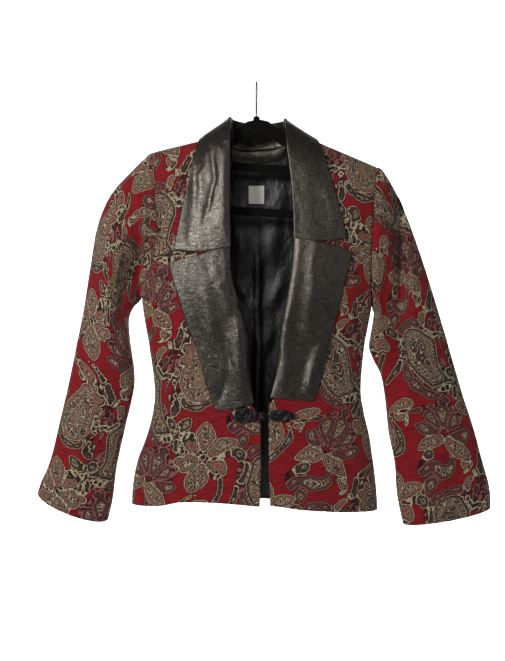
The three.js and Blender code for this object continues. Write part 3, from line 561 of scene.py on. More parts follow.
FOLDS = {
    "right": table(FOLD_COLUMNS, [
        (1.5, 7, 128, 0, 17, -11), (1, 5.5, 98, 0, 16, 4), (7, 10, 60, 0, 20, -3),
        (8.5, 11.5, 120, 0, 18, -3), (2, 7, 250, 0, 22, -6), (7, 11, 285, 0, 20, -4),
        (5.5, 8.5, 100, 60, 9, 1.8), (6.5, 9.5, 150, -50, 8, -1.8), (7.5, 10, 30, 40, 9, 1.5),
        (9, 12.5, 75, 30, 10, 1.6), (10, 13.5, 20, -20, 12, -1.5), (3, 6.5, 40, 25, 12, -1.4),
        (6, 9, 240, -50, 9, 2.0), (8, 10.5, 300, 40, 10, -1.8), (10, 13, 255, 20, 12, 1.7)]),
    "left": table(FOLD_COLUMNS, [
        (1.5, 9, 86, 0, 13, 5), (1.5, 8.5, 118, 0, 18, -7), (8, 12, 70, 0, 22, -3),
        (2, 7, 245, 0, 22, -6), (7, 12, 280, 0, 20, -4),
        (6, 9, 110, -45, 9, 1.7), (7, 10, 60, 50, 9, -1.6), (8.5, 11, 140, -50, 9, 1.8),
        (10, 13.5, 95, -25, 12, 1.5), (2.5, 6, 35, 15, 13, -1.3), (9.5, 12.5, 30, 25, 12, 1.4),
        (6, 9, 235, 45, 9, -1.9), (7.5, 10.5, 310, -40, 10, 1.8), (10, 13, 250, -20, 12, -1.6)])}
HOLLOW_COLUMNS = "xStart xEnd zTop zLow depth"     # where the cloth slopes back and then steps out
HOLLOWS = {
    "right": table(HOLLOW_COLUMNS, [(-226, -188, -226, -402, 24)]),
    "left": table(HOLLOW_COLUMNS, [(188, 238, -160, -500, 38)])}
print("folds:", {side: len(folds["start"]) for side, folds in FOLDS.items()})


# %% Sleeve surface
def armhole_points(side, angle):
    rise = (1 + np.cos(angle)) / 2
    x = at_key(ARMHOLE, "rise", rise, side)
    z = mix(underarm_line(x), shoulder_line(x), rise)
    return np.stack([x, np.where(np.sin(angle) >= 0, front_y(x, z), back_y(x, z)), z], axis=-1)


def sleeve_points(side, place, angle):
    rings = SLEEVES[side]

    def oval(number):
        out_x, out_z, in_x, in_z, deep = (at_row(rings, number, column) for column in rings)
        return np.stack([(out_x + in_x) / 2 + (out_x - in_x) / 2 * np.cos(angle), -np.sin(angle) * deep,
                         (out_z + in_z) / 2 + (out_z - in_z) / 2 * np.cos(angle)], axis=-1)

    to_armhole = armhole_points(side, angle) - oval(np.zeros_like(angle))
    fade = np.clip(1 - place / CAP_FADE, 0, 1) ** 2
    points = oval(place) + to_armhole * fade[..., None]
    relief = 0
    for start, end, middle, lean, width, height in zip(*FOLDS[side].values()):
        share = np.clip((place - start) / (end - start), 0, 1)
        away = np.abs((np.degrees(angle) - middle - lean * (share - 0.5) + 540) % 360 - 180)
        relief = relief + height * np.sin(share * math.pi) * hump(away, width)
    points[..., 1] -= np.sin(angle) * relief
    for start, end, top, low, depth in zip(*HOLLOWS[side].values()):
        share = (points[..., 0] - start) / (end - start)
        profile = np.where(share < 1, np.clip(share, 0, 1) ** 1.2, np.clip(1 - (share - 1) / 0.2, 0, 1))
        window = np.sin(np.clip((points[..., 2] - low) / (top - low), 0, 1) * math.pi) ** 0.7
        window = window * np.clip(np.sin(angle) * 4, 0, 1) * np.clip(place / 1.5, 0, 1)
        points[..., 1] += depth * profile * window
    points[..., 0] += (-1 if side == "right" else 1) * 0.6 * SEAM_GAP
    points[..., 2] -= CUFF_DIP[side] * np.maximum(np.sin(angle), 0) * np.clip(place - 10, 0, 3) / 3
    return points


def even_places(rings, count):
    """Ring numbers at even steps along the outside of the arm."""
    fine = np.linspace(0, len(rings["outX"]) - 1, 600)
    length = lengths_down(np.stack([at_row(rings, fine, "outX"), at_row(rings, fine, "outZ")], axis=-1))
    return np.interp(np.linspace(0, length[-1], count), length, fine)


SLEEVE_ROWS, SLEEVE_RING = 190, 116


def sleeve_piece(side):
    angle = math.pi + np.linspace(0, 2 * math.pi, SLEEVE_RING, endpoint=False)      # from the underarm seam
    place, angle = np.broadcast_arrays(even_places(SLEEVES[side], SLEEVE_ROWS)[:, None], angle[None])
    grid = relax(sleeve_points(side, place, angle % (2 * math.pi)), 2, closed=True)
    middle = grid.mean(axis=1, keepdims=True)
    normals = grid_normals(grid, closed=True, middle=middle)
    along = lengths_down(grid)
    round_arm = across_lengths(np.concatenate([grid, grid[:, :1]], axis=1), SLEEVE_RING // 2)
    cap = np.clip(np.cos(angle), 0, 1)
    swell = 1.6 * hump(along - 10, 8) * cap + seam_sink(along, round_arm[:, :-1], 5.0)
    swell += seam_sink(round_arm[:, :-1] - round_arm[:, :1], along, 6.0) * 0.8
    grid = grid + normals * swell[..., None]
    normals = grid_normals(grid, closed=True, middle=middle)
    piece = shell(f"sleeve_{side}_cloth", grid, normals, CLOTH, closed=True,
                  roundness=lambda a, b: TURNED_EDGE if a > 0 else 0.0)
    along = np.concatenate([along, along[:, :1]], axis=1)
    return piece, -round_arm, along[-1:] - along


sleeve_pieces = {side: sleeve_piece(side) for side in ("right", "left")}
for side, (_, round_arm, along) in sleeve_pieces.items():
    print(side, "sleeve:", round(along.max()), "mm long,", round(np.ptp(round_arm[100])), "mm round")

# %% [markdown]
# ## Collar and lapels
# The collar and lapels are two layers of taffeta on a canvas, so they stand off the brocade and keep
# a crisp, rolled fold where they turn over. Each one is a strip of stations along the fold: a point on
# the fold, a point on the free edge, and how much the strip sags between them. The fold itself is a
# small half round added to the strip's first column, because a sharp edge would look like cut card.

# %% Tables of the collar and lapels
LAPEL_COLUMNS = "rollX rollZ edgeX edgeZ sag tuck"
LAPELS = {
    "right": table(LAPEL_COLUMNS, [
        (-40, -276, -141, -299, 1, 5), (-38, -312, -135, -323, 0, 7), (-32, -341, -124, -355, 0, 7),
        (-21, -379, -113, -392, 0, 7), (-11, -417, -102, -421, 0, 7), (-10, -452, -91, -453, 0, 7),
        (-8, -484, -82, -486, 0, 6), (-6, -505, -73, -513, 0, 3), (-4, -521, -65, -534, -3, 0)]),
    "left": table(LAPEL_COLUMNS, [
        (58, -262, 154, -281, 3, 5), (54, -293, 146, -309, 0, 7), (51, -319, 138, -338, 0, 7),
        (45, -357, 130, -373, 0, 7), (37, -397, 121, -406, 0, 7), (33, -433, 113, -443, 0, 7),
        (30, -468, 104, -477, 0, 6), (23, -502, 96, -508, 0, 3), (21, -513, 90, -520, 0, 0)])}
COLLAR = table("rollX rollY rollZ edgeX edgeY edgeZ sag", [
    (-40, 0, -273, -132, 0, -278, -6), (-41, 0, -223, -120, 0, -222, 0), (-41, 0, -177, -110, 0, -176, 0),
    (-41, 0, -140, -103, 0, -138, 0), (-41, 0, -98, -98, 0, -112, 0), (-42, 0, -57, -93, 0, -92, 0),
    (-40, 14, -55, -93, 24, -108, 0), (-30, 27, -55, -76, 36, -122, 0), (-15, 36, -56, -42, 42, -130, 0),
    (2, 39, -57, 2, 45, -132, 0), (20, 36, -57, 46, 42, -130, 0), (34, 27, -57, 80, 36, -120, 0),
    (44, 14, -58, 96, 24, -106, 0), (46, 0, -60, 97, 0, -93, 0), (47, 0, -102, 106, 0, -114, 0),
    (51, 0, -140, 112, 0, -138, 0), (55, 0, -177, 122, 0, -176, 0), (58, 0, -223, 134, 0, -218, 0),
    (58, 0, -259, 143, 0, -258, -6)])
LAPEL_CLOTH = 2.2
LAPEL_LIFT, COLLAR_LIFT = 0.7, 1.3
ROLL_WIDTH = 13             # strip of the lapel that turns in towards the chest
ROLL_RADIUS, ROLL_COLUMNS, ROLL_SWEEP = 2.6, 9, 165     # the fold's round turn; its sweep is in degrees
EDGE_ROUND = 0.8
LAPEL_INSIDE, COLLAR_INSIDE = np.array([APEX_X, 200, -400]), np.array([NECK_MIDDLE, 0, -260])
GORGE_RISE, GORGE_REACH = 4.5, 0.42     # the lapel's top edge lies under the collar up to the notch
CREST_RIGHT, CREST_LEFT = 5, 13
TAFFETA_CREASES = table(CREASE_COLUMNS, [
    (-94, -92, -106, -258, 8, -3.6), (-54, -92, -58, -262, 15, 5.6), (-71, -126, -66, -172, 4.5, -2.6),
    (-66, -160, -84, -236, 4, -2.2), (-52, -120, -50, -262, 5, 1.6), (-100, -130, -88, -190, 6, 1.6),
    (-78, -140, -92, -160, 3.5, 1.2), (-74, -196, -56, -206, 3.5, 1.0), (-96, -236, -70, -246, 4, 1.2),
    (-70, -100, -58, -120, 5, 1.6), (-84, -104, -76, -140, 4, 1.3),
    (-90, -284, -62, -326, 6, -2.0), (-62, -326, -16, -380, 5, -2.2), (-74, -300, -40, -372, 7, 2.2),
    (-32, -400, -22, -520, 13, 6.4), (-84, -330, -66, -430, 9, 1.4), (-30, -395, -24, -440, 5, 1.4),
    (-96, -345, -84, -440, 8, -1.0), (-46, -480, -62, -522, 6, -1.3), (-56, -400, -40, -470, 5, -1.4),
    (74, -120, 84, -230, 12, 0.5), (112, -180, 128, -250, 7, 1.5), (66, -205, 70, -262, 8, -0.6),
    (84, -92, 92, -130, 6, 1.0), (94, -262, 84, -415, 12, 4.4), (120, -310, 112, -372, 8, 1.2),
    (60, -385, 66, -440, 9, -1.2), (110, -400, 80, -506, 10, 4.6), (48, -440, 44, -498, 7, 1.4),
    (88, -455, 84, -508, 6, 2.2), (100, -300, 122, -332, 4, 1.2), (78, -404, 100, -418, 4, 1.2)])
print("taffeta creases:", len(TAFFETA_CREASES["x1"]))


# %% Collar and lapel surfaces
def lapel_surface(side, rows=150, columns=56):
    stations = LAPELS[side]
    place = np.linspace(0, len(stations["rollX"]) - 1, rows)[:, None]
    roll_x, roll_z, edge_x, edge_z, sag, tuck = (at_row(stations, place, name) for name in stations)
    width = np.hypot(edge_x - roll_x, edge_z - roll_z)
    share = mix(ROLL_RADIUS / width, 1, np.linspace(0, 1, columns)[None] ** 1.2)
    x = mix(roll_x, edge_x, share)
    gorge = GORGE_RISE * np.clip(1 - share / GORGE_REACH, 0, 1) ** 0.5 * np.clip(1 - place, 0, 1)
    z = mix(roll_z, edge_z, share) + sag * np.sin(share * math.pi) + gorge
    turned = tuck * np.clip(1 - np.abs(x - roll_x) / ROLL_WIDTH, 0, 1) ** 2
    y = front_skin(x, z, LAPEL_LIFT) + turned - LAPEL_CLOTH
    return np.stack([x, y, z], axis=-1), width


def collar_crest(x):
    """Height of the collar where it crosses each shoulder."""
    right, left = (
        mix(COLLAR["rollZ"][k], COLLAR["edgeZ"][k],
            np.maximum((x - COLLAR["rollX"][k]) / (COLLAR["edgeX"][k] - COLLAR["rollX"][k]), 0))
        for k in (CREST_RIGHT, CREST_LEFT))
    return np.maximum(np.where(x < APEX_X, right, left), shoulder_line(x) + COLLAR_LIFT)


def collar_points(place, share):
    x, y, z = (mix(at_row(COLLAR, place, "roll" + axis), at_row(COLLAR, place, "edge" + axis), share)
               for axis in "XYZ")
    z = z + at_row(COLLAR, place, "sag") * np.sin(share * math.pi)
    behind = (place > CREST_RIGHT) & (place < CREST_LEFT)
    front = front_skin(x, z, COLLAR_LIFT, collar_crest(x))
    return np.stack([x, np.where(behind, np.maximum(y, back_y(x, z, COLLAR_LIFT)), front), z], axis=-1)


def roll_directions(edge, inside, outward):
    """From the middle of a fold's round turn, the directions to its columns."""
    forward = unit(edge - inside)
    turns = np.radians(np.linspace(ROLL_SWEEP, ROLL_SWEEP / ROLL_COLUMNS, ROLL_COLUMNS))
    return np.stack([outward * math.cos(turn) + forward * math.sin(turn) for turn in turns], axis=1)


def taffeta_piece(name, grid, middle):
    """A creased strip with a round turn before its first column, so that its fold isn't a sharp edge."""
    relief = line_relief(grid[..., 0], grid[..., 2], TAFFETA_CREASES) * (grid[..., 1] < 12)
    normals = grid_normals(grid, middle=middle)
    grid = relax(grid + normals * relief[..., None], 2)
    outward = normals[:, 0]
    fold = (grid[:, 0] - outward * ROLL_RADIUS)[:, None] \
        + ROLL_RADIUS * roll_directions(grid[:, 0], grid[:, 1], outward)
    grid = np.concatenate([fold, grid], axis=1)
    normals = grid_normals(grid, middle=middle)
    first = ROLL_COLUMNS                                # the fold's own normals turn inwards
    normals[:, :first] = roll_directions(grid[:, first], grid[:, first + 1], normals[:, first])
    piece = shell(name, grid, normals, LAPEL_CLOTH * 0.9,
                  roundness=lambda a, b: EDGE_ROUND if b >= ROLL_COLUMNS else 0.0)
    across = across_lengths(grid, first)
    return piece, across, lengths_down(grid[:, first + 20])[:, None] + 0 * across


taffeta_pieces = {}
for side in ("right", "left"):
    grid, width = lapel_surface(side)
    taffeta_pieces[f"lapel_{side}"] = taffeta_piece(f"lapel_{side}_cloth", grid, LAPEL_INSIDE)
    print(side, "lapel up to", round(float(width.max())), "mm wide")

COLLAR_STEPS, COLLAR_COLUMNS = 260, 44
place = np.linspace(0, len(COLLAR["rollX"]) - 1, COLLAR_STEPS)[:, None]
width = np.sqrt(sum((at_row(COLLAR, place, "edge" + axis) - at_row(COLLAR, place, "roll" + axis)) ** 2
                    for axis in "XYZ"))
share = mix(ROLL_RADIUS / width, 1, np.linspace(0, 1, COLLAR_COLUMNS)[None])
grid = relax(collar_points(np.broadcast_to(place, share.shape), share), 4)
grid = grid + grid_normals(grid, middle=COLLAR_INSIDE) * LAPEL_CLOTH
taffeta_pieces["collar"] = taffeta_piece("collar_cloth", grid, COLLAR_INSIDE)
print("collar:", round(float(taffeta_pieces["collar"][2].max())), "mm round the neck")

# %% [markdown]
# ## Inside the neck
# Through the open neck the inside of the back shows: the stand of the collar, a narrow taffeta
# facing below it, and the satin lining, which hangs a little loose and falls into soft folds on both
# sides of an ease pleat. The lining is pinned only at the neck, so its folds grow downwards.


# %% Collar stand
def neck_seam(place):
    """Where the stand meets the body: the front necklines and the back neck."""
    towards_back = np.clip((place - CREST_RIGHT) / (CREST_LEFT - CREST_RIGHT), 0, 1)
    x_back = NECK_MIDDLE - (NECK_X - 1) * np.cos(towards_back * math.pi)
    z_back = back_top(x_back)
    back = np.stack([x_back, back_y(x_back, z_back) - 3 * SEAM_GAP, z_back + 4 * SEAM_GAP], axis=-1)
    z = mix(at_row(COLLAR, place, "rollZ"), NECK_Z_RIGHT, 0.5) - 4
    right = place < (CREST_RIGHT + CREST_LEFT) / 2
    x = np.where(right, at_key(FRONT_EDGE, "z", z, "right") + 4 * SEAM_GAP,
                 at_key(FRONT_EDGE, "z", z, "left") - 4 * SEAM_GAP)
    front = np.stack([x, np.minimum(front_y(x, z), 0), z], axis=-1)
    behind = (towards_back > 0) & (towards_back < 1)
    return np.where(behind[..., None], back, front)


STAND_CLOTH = 1.6
STAND_INSET, STAND_DROP = 2.1, 1.1
place = np.linspace(CREST_RIGHT - 2, CREST_LEFT + 2, 150)
top = collar_points(place, np.zeros_like(place))
inwards = unit(np.stack([NECK_MIDDLE - top[:, 0], -top[:, 1], 0 * top[:, 0]], axis=-1))
top = top + inwards * STAND_INSET - np.array([0, 0, STAND_DROP + ROLL_RADIUS])
grid = relax(mix(top[:, None], neck_seam(place)[:, None], np.linspace(0, 1, 12)[None, :, None]), 2)
across = across_lengths(grid, 0)
stand_made = (shell("collar_stand_cloth", grid, grid_normals(grid, middle=np.array([NECK_MIDDLE, 0, -60])),
                    STAND_CLOTH), across, lengths_down(grid[:, 6])[:, None] + 0 * across)
print("stand:", len(stand_made[0].data.polygons), "faces")

# %% Lining, facing and label
LINING_LIFT = -(CLOTH + 1.6)
LINING_CLOTH = 1.0
LABEL_LIFT = LINING_LIFT - LINING_CLOTH - 1.1       # the label and the facing lie on the lining
LINING_HEM, LINING_TOP = -688, -120
FACING_DEPTH = 19
PLEAT_TOP, PLEAT_HEIGHT = -228, 5
LINING_REACH, LINING_UPPER_Z, LINING_UPPER_REACH = 0.88, -330, 150
LINING_FOLDS = table(CREASE_COLUMNS, [
    (-34, -158, 2, -150, 12, 3.2), (34, -152, 42, -196, 14, 4.4), (24, -196, 46, -204, 8, 2.6),
    (-30, -196, -16, -204, 9, 2.2),
    (-24, -236, -28, -300, 15, 5.2), (26, -228, 28, -300, 17, 5.6), (-34, -320, -6, -368, 9, 3.4),
    (44, -318, 22, -372, 12, 4.6), (-14, -372, -26, -440, 12, 4.0), (24, -392, 10, -456, 12, 4.2),
    (-60, -380, -30, -500, 14, 3.6), (46, -420, 24, -520, 12, 3.6), (4, -470, -4, -560, 10, 3.4),
    (-30, -520, -22, -670, 14, 3.0), (30, -540, 26, -680, 14, 3.0), (-90, -300, -110, -500, 18, 3.0),
    (90, -300, 112, -500, 18, 3.0), (-80, -540, -90, -680, 18, 2.6), (84, -540, 92, -680, 18, 2.6)])


def inside_back(name, x, z, lift, thick, raised):
    """A skin that faces the neck, on the inside of the back."""
    grid = np.stack([x, back_y(x, z, lift) - raised, z], axis=-1)
    normals = grid_normals(grid, middle=np.array([APEX_X, 400, -400]))      # outward is into the blazer
    return shell(name, grid, normals, thick), across_lengths(grid, grid.shape[1] // 2), z


rise = np.linspace(0, 1, 150)[:, None]
share = np.linspace(-1, 1, 125)[None]
z_guess = mix(LINING_HEM, LINING_TOP, rise) + 0 * share
side = np.abs(np.where(share < 0, at_key(BODY, "z", z_guess, "right"), at_key(BODY, "z", z_guess, "left")))
reach = np.where(z_guess > LINING_UPPER_Z, np.minimum(side, LINING_UPPER_REACH), side * LINING_REACH)
x = share * reach + NECK_MIDDLE * (share > 0)
z = mix(LINING_HEM, back_top(x) - FACING_DEPTH - 2, rise)
pleat = PLEAT_HEIGHT * hump(x - NECK_MIDDLE, 7) * np.clip((PLEAT_TOP - z) / 60, 0, 1)
folds = np.maximum(line_relief(x, z, LINING_FOLDS), -1.2) + 1.2
edge_calm = np.clip((1 - np.abs(share)) * 6, 0, 1) * np.clip(np.minimum(rise * 12, (1 - rise) * 8), 0, 1)
lining_made = inside_back("lining_back_cloth", x, z, LINING_LIFT - LINING_CLOTH, LINING_CLOTH * 0.8,
                          pleat + folds * edge_calm)
x = np.broadcast_to(np.linspace(NECK_MIDDLE - 45, NECK_MIDDLE + 45, 60)[None], (14, 60))
rise = np.linspace(0, 1, 14)[:, None]
z = mix(back_top(x) - FACING_DEPTH - 1, back_top(x) - 2.5, rise)
facing_made = inside_back("neck_facing_cloth", x, z, LABEL_LIFT, LINING_CLOTH * 0.8,
                          0.35 * np.sin(x / 6.1) * np.sin(x / 14 + 1) + 1.4 * np.sin(rise * math.pi))
LABEL_HALF, LABEL_TOP, LABEL_BOTTOM = 13, -163, -193


def label_curl(x, z):
    """How far the label stands off the lining."""
    return 1.3 + 0.9 * (x / LABEL_HALF) ** 2 + 0.5 * np.sin(z / 9)


x, z = np.meshgrid(np.linspace(-LABEL_HALF, LABEL_HALF, 27), np.linspace(LABEL_BOTTOM, LABEL_TOP, 31))
label_made = inside_back("label_cloth", x, z, LABEL_LIFT, 0.5, label_curl(x, z))
for piece, _, _ in (lining_made, facing_made, label_made):
    print(piece.name, len(piece.data.polygons), "faces")

# %% [markdown]
# ## The woven figure
# The brocade's design is a general paisley of our own: pointed flowers, teardrops with a curled tip,
# scrolls, leaves and small curls, in a half-drop repeat. Every shape in it is a chain of circles
# along a curve, which is an easy way to draw a teardrop or a petal: only the curve and the circles'
# sizes are needed. For any point of the cloth, the distance to the nearest chain says how deep inside
# a shape it lies. That one number gives all the nested outlines that such a cloth has, because each
# outline is just another depth. The distance along the chain places teeth and beads on them.

# %% Shapes of the design
def chain(points, radii, tone):
    """One shape: circle centres and radii, with lengths and directions along the chain."""
    points, radii = np.asarray(points, float), np.asarray(radii, float)
    return points, radii, lengths_down(points), unit(np.gradient(points, axis=0)), tone


def walk(length, start_turn, bends, count):
    """A path of steps whose heading, in degrees, changes by the bends' polynomial."""
    share = np.linspace(0, 1, count)
    heading = np.radians(start_turn + sum(bend * share ** (k + 1) for k, bend in enumerate(bends)))
    steps = np.stack([np.cos(heading), np.sin(heading)], axis=1) * length / (count - 1)
    return np.concatenate([[[0, 0]], np.cumsum((steps[:-1] + steps[1:]) / 2, axis=0)]), share


def petal(size, turn, tone, start, width):
    """A pointed petal that starts at a share of its size from the middle."""
    path, share = walk(size * (1 - start), turn, (14,), 15)
    path += size * start * np.array([math.cos(math.radians(turn)), math.sin(math.radians(turn))])
    return chain(path, size * width * 3.1 * share**0.6 * (1 - share) ** 1.05 + 0.2, tone)


def flower(size, petals, tone):
    ring = [petal(size * (1 - 0.1 * (k % 2)), 360 * k / petals, tone, 0.16, 0.3)
            for k in range(petals)]
    return ring + [chain([(0, 0), (0.5, 0)], [size * 0.2] * 2, (tone + 1) % 3)]


def open_flower(size, petals, tone):
    """A flower seen from the side, with its petals in a fan over two sepals."""
    fan = [petal(size * (1 - 0.13 * abs(k)), 33 * k + 90, tone, 0.08, 0.25)
           for k in range(-petals, petals + 1)]
    sepals = [petal(size * 0.7, 90 + way * 122, (tone + 1) % 3, 0.06, 0.26) for way in (-1, 1)]
    return fan + sepals


def teardrop_path(size):
    path, share = walk(size * 1.15, 86, (-16, 175), 30)
    return path, size * 0.3 * (1 - share) ** 0.8 + 1.6


def teardrop(size, tone):
    path, radii = teardrop_path(size)
    return [chain(path, radii, tone)]


BAND = 8.5                  # half width of the scalloped band round a crested teardrop


def crested(size, tone):
    """A teardrop with a scalloped band round its foot and its back."""
    path, radii = teardrop_path(size)
    ways = unit(np.gradient(path, axis=0))
    back = path + np.stack([ways[:, 1], -ways[:, 0]], axis=1) * (radii + BAND)[:, None]
    foot_turns = np.radians(np.linspace(-215, -12, 22))
    foot = path[0] + (radii[0] + BAND) * np.stack([np.cos(foot_turns), np.sin(foot_turns)], axis=1)
    band = np.concatenate([foot, back[2:24]])
    share = np.linspace(0, 1, len(band))
    lobes = 0.72 + 0.28 * np.abs(np.sin(share * 10 * math.pi))
    ends = np.minimum(1, 0.25 + 5 * np.minimum(share, 1 - share))
    return [chain(path, radii, tone), chain(band, BAND * lobes * ends, (tone + 1) % 3)]


def scroll(size, tone):
    path, share = walk(size, 0, (60, 230), 46)
    lobes = 0.85 + 0.22 * np.abs(np.sin(share * 11 * math.pi))
    return [chain(path, 10.5 * np.sin(math.pi * (0.06 + 0.84 * share)) ** 0.6 * lobes, tone)]


def vine(size, tone):
    """A long thin stem that bends one way and then the other."""
    path, share = walk(size, 0, (150, -260), 40)
    return [chain(path, 6.6 * np.sin(math.pi * (0.05 + 0.9 * share)) ** 0.5, tone)]


def leaf(size, tone):
    path, share = walk(size, 0, (52,), 16)
    return [chain(path, size * 0.21 * np.sin(math.pi * share**0.8) ** 0.9 + 0.3, tone)]


def curl(size, tone):
    path, share = walk(size, 0, (40, 330), 24)
    return [chain(path, 3.2 + 3.4 * share**3, tone)]


SHAPES = {
    "flower": lambda size, tone: flower(size, 6, tone), "star": lambda size, tone: flower(size, 5, tone),
    "lily": lambda size, tone: open_flower(size, 2, tone),
    "bud": lambda size, tone: open_flower(size, 1, tone),
    "teardrop": teardrop, "crested": crested, "scroll": scroll, "vine": vine, "leaf": leaf, "curl": curl}
print("shapes:", ", ".join(SHAPES))

# %% One repeat of the design
CREAM, TAUPE, PINK = 0, 1, 2
REPEAT_WIDTH, REPEAT_HEIGHT = 196, 282
LAYOUT = [      # shape, place across and up the cloth, size, turn in degrees, mirrored, tone
    ("crested", 152, 206, 104, 192, 0, TAUPE), ("crested", 50, 81, 104, 20, 1, CREAM),
    ("flower", 50, 242, 60, 12, 0, CREAM), ("lily", 158, 50, 76, -26, 0, PINK),
    ("scroll", 88, 159, 168, 40, 0, TAUPE), ("scroll", 210, 19, 158, 128, 1, CREAM),
    ("vine", 4, 287, 168, 300, 0, TAUPE), ("vine", 103, 111, 130, 338, 0, PINK),
    ("teardrop", 113, 5, 58, 250, 0, PINK), ("star", 206, 136, 40, 40, 0, TAUPE),
    ("leaf", 113, 246, 56, 66, 0, PINK), ("leaf", 131, 117, 50, 164, 0, CREAM),
    ("leaf", 96, 287, 54, 20, 0, TAUPE), ("leaf", 7, 25, 48, 60, 0, TAUPE),
    ("leaf", 215, 95, 50, 300, 1, TAUPE), ("leaf", 23, 154, 48, 330, 0, TAUPE),
    ("curl", 108, 88, 50, 60, 0, CREAM), ("curl", 186, 178, 44, 150, 1, PINK),
    ("curl", 173, 272, 50, 10, 0, CREAM), ("curl", 14, 57, 40, 200, 0, TAUPE),
    ("bud", 206, 257, 38, 160, 0, PINK)]
FAR, MARGIN = 40.0, 4.0     # depth outside every shape, and how far round a shape its distance is known


def placed_shapes():
    shapes = []
    for name, x, y, size, turn, mirrored, tone in LAYOUT:
        angle = math.radians(turn)
        spin = np.array([[math.cos(angle), math.sin(angle)], [-math.sin(angle), math.cos(angle)]])
        flip = np.array([-1 if mirrored else 1, 1])
        for points, radii, lengths, ways, part_tone in SHAPES[name](size, tone):
            points, ways = (points * flip) @ spin + (x, y), (ways * flip) @ spin
            shapes.append((points, radii, lengths, ways, part_tone))
    return shapes


DESIGN = placed_shapes()


def loosened(u, v):
    """A drawn line wanders by a few millimetres, so the design is laid out on a wavy net."""
    return (u + 5.5 * np.sin(v / 29 + 0.8 * np.sin(u / 47)) + 2.4 * np.sin((u + v) / 15),
            v + 5.5 * np.sin(u / 33 + 1.1 * np.sin(v / 53)) + 2.4 * np.sin((u - v) / 17))


def woven_figure(across, along):
    """Depth in the nearest shape, its tone, and the place along and beside its middle line."""
    u, v = loosened(across.ravel(), along.ravel())
    nearest, next_nearest = np.full(u.size, FAR), np.full(u.size, FAR)
    found = np.zeros((u.size, 3))
    first_i, last_i = (math.floor(end / REPEAT_WIDTH) for end in (u.min(), u.max()))
    first_j, last_j = (math.floor(end / REPEAT_HEIGHT) for end in (v.min(), v.max()))
    repeats = [np.array([i * REPEAT_WIDTH, (j + 0.5 * (i % 2)) * REPEAT_HEIGHT])
               for i in range(first_i - 1, last_i + 2) for j in range(first_j - 2, last_j + 2)]
    for points, radii, lengths, ways, tone in DESIGN:
        low, high = (points - radii[:, None]).min(0) - MARGIN, (points + radii[:, None]).max(0) + MARGIN
        for shift in repeats:
            inside = np.nonzero((u > low[0] + shift[0]) & (u < high[0] + shift[0])
                                & (v > low[1] + shift[1]) & (v < high[1] + shift[1]))[0]
            if not inside.size:
                continue
            gap = np.stack([u[inside], v[inside]], axis=1)[:, None] - (points + shift)
            distance = np.linalg.norm(gap, axis=2) - radii
            best = distance.argmin(axis=1)
            pick = np.arange(inside.size)
            distance, gap, way = distance[pick, best], gap[pick, best], ways[best]
            before = nearest[inside]
            closer = distance < before
            next_nearest[inside] = np.where(closer, before, np.minimum(next_nearest[inside], distance))
            chosen = inside[closer]
            nearest[chosen] = distance[closer]
            found[chosen, 0] = tone
            found[chosen, 1] = (lengths[best] + np.sum(gap * way, axis=1))[closer]
            found[chosen, 2] = (way[:, 0] * gap[:, 1] - way[:, 1] * gap[:, 0])[closer]
    depth = np.where(nearest < 0, np.minimum(-nearest, (next_nearest - nearest) / 2), -nearest)
    none = np.zeros(u.size)
    return np.stack([depth, found[:, 0], none], axis=1), np.stack([found[:, 1], found[:, 2], none], axis=1)


print(len(DESIGN), "chains in one repeat of", REPEAT_WIDTH, "by", REPEAT_HEIGHT, "mm")

# %% [markdown]
# ## How the cloths are coloured
# The brocade's material reads the values that are stored on the cloth: the depth in a shape and its
# tone choose a yarn colour, and the place along the shape puts teeth and beads on its bands. Before
# that, fine noise shifts the depth by part of a millimetre, so each outline is as ragged as real
# yarns make it. The ground has long crosswise slubs, because its weft is a thick and thin chenille.
# All of this is one node group, which only gives out a colour and a height. The shader stays outside.

# %% Helpers for node trees
def paint(hex_colour):
    """A colour written as on a screen, turned into the linear values that shaders use."""
    parts = [int(hex_colour[k:k + 2], 16) / 255 for k in (0, 2, 4)]
    return (*(part / 12.92 if part <= 0.04045 else ((part + 0.055) / 1.055) ** 2.4 for part in parts), 1)


def add(tree, kind, inputs=None, **settings):
    """A new node; an input is either a plain value or the socket that feeds it."""
    full_kind = kind.startswith(("GeometryNode", "FunctionNode"))
    node = tree.nodes.new(kind if full_kind else "ShaderNode" + kind)
    for key, value in settings.items():
        setattr(node, key, value)
    for key, value in (inputs or {}).items():
        if isinstance(value, bpy.types.NodeSocket):
            tree.links.new(value, node.inputs[key])
        else:
            node.inputs[key].default_value = value
    return node


def calc(operation, *values):
    """One sum, in the tree that its sockets belong to."""
    tree = next(value.id_data for value in values if isinstance(value, bpy.types.NodeSocket))
    return add(tree, "Math", dict(enumerate(values)), operation=operation).outputs[0]


def times(a, b):
    return calc("MULTIPLY", a, b)


def plus(a, b):
    return calc("ADD", a, b)


def minus(a, b):
    return calc("SUBTRACT", a, b)


def above(value, limit):
    return calc("GREATER_THAN", value, limit)


def below(value, limit):
    return calc("LESS_THAN", value, limit)


def within(value, low, high):
    """1 where a value lies between two limits, else 0."""
    return times(above(value, low), below(value, high))


def repeat(value, pitch):
    """Share of the way through the present repeat, 0 to 1."""
    return calc("FRACT", calc("DIVIDE", value, pitch))


def blend(factor, first, second):
    return add(factor.id_data, "Mix", {0: factor, 6: first, 7: second}, data_type="RGBA").outputs[2]


def scaled(vector, factor):
    return add(vector.id_data, "VectorMath", {0: vector, "Scale": factor}, operation="SCALE").outputs[0]


def stretched(value, low, high, to_low=0.0, to_high=1.0):
    """A value's range between two limits, spread over another range."""
    limits = {"From Min": low, "From Max": high, "To Min": to_low, "To Max": to_high}
    return add(value.id_data, "MapRange", {"Value": value, **limits}).outputs[0]


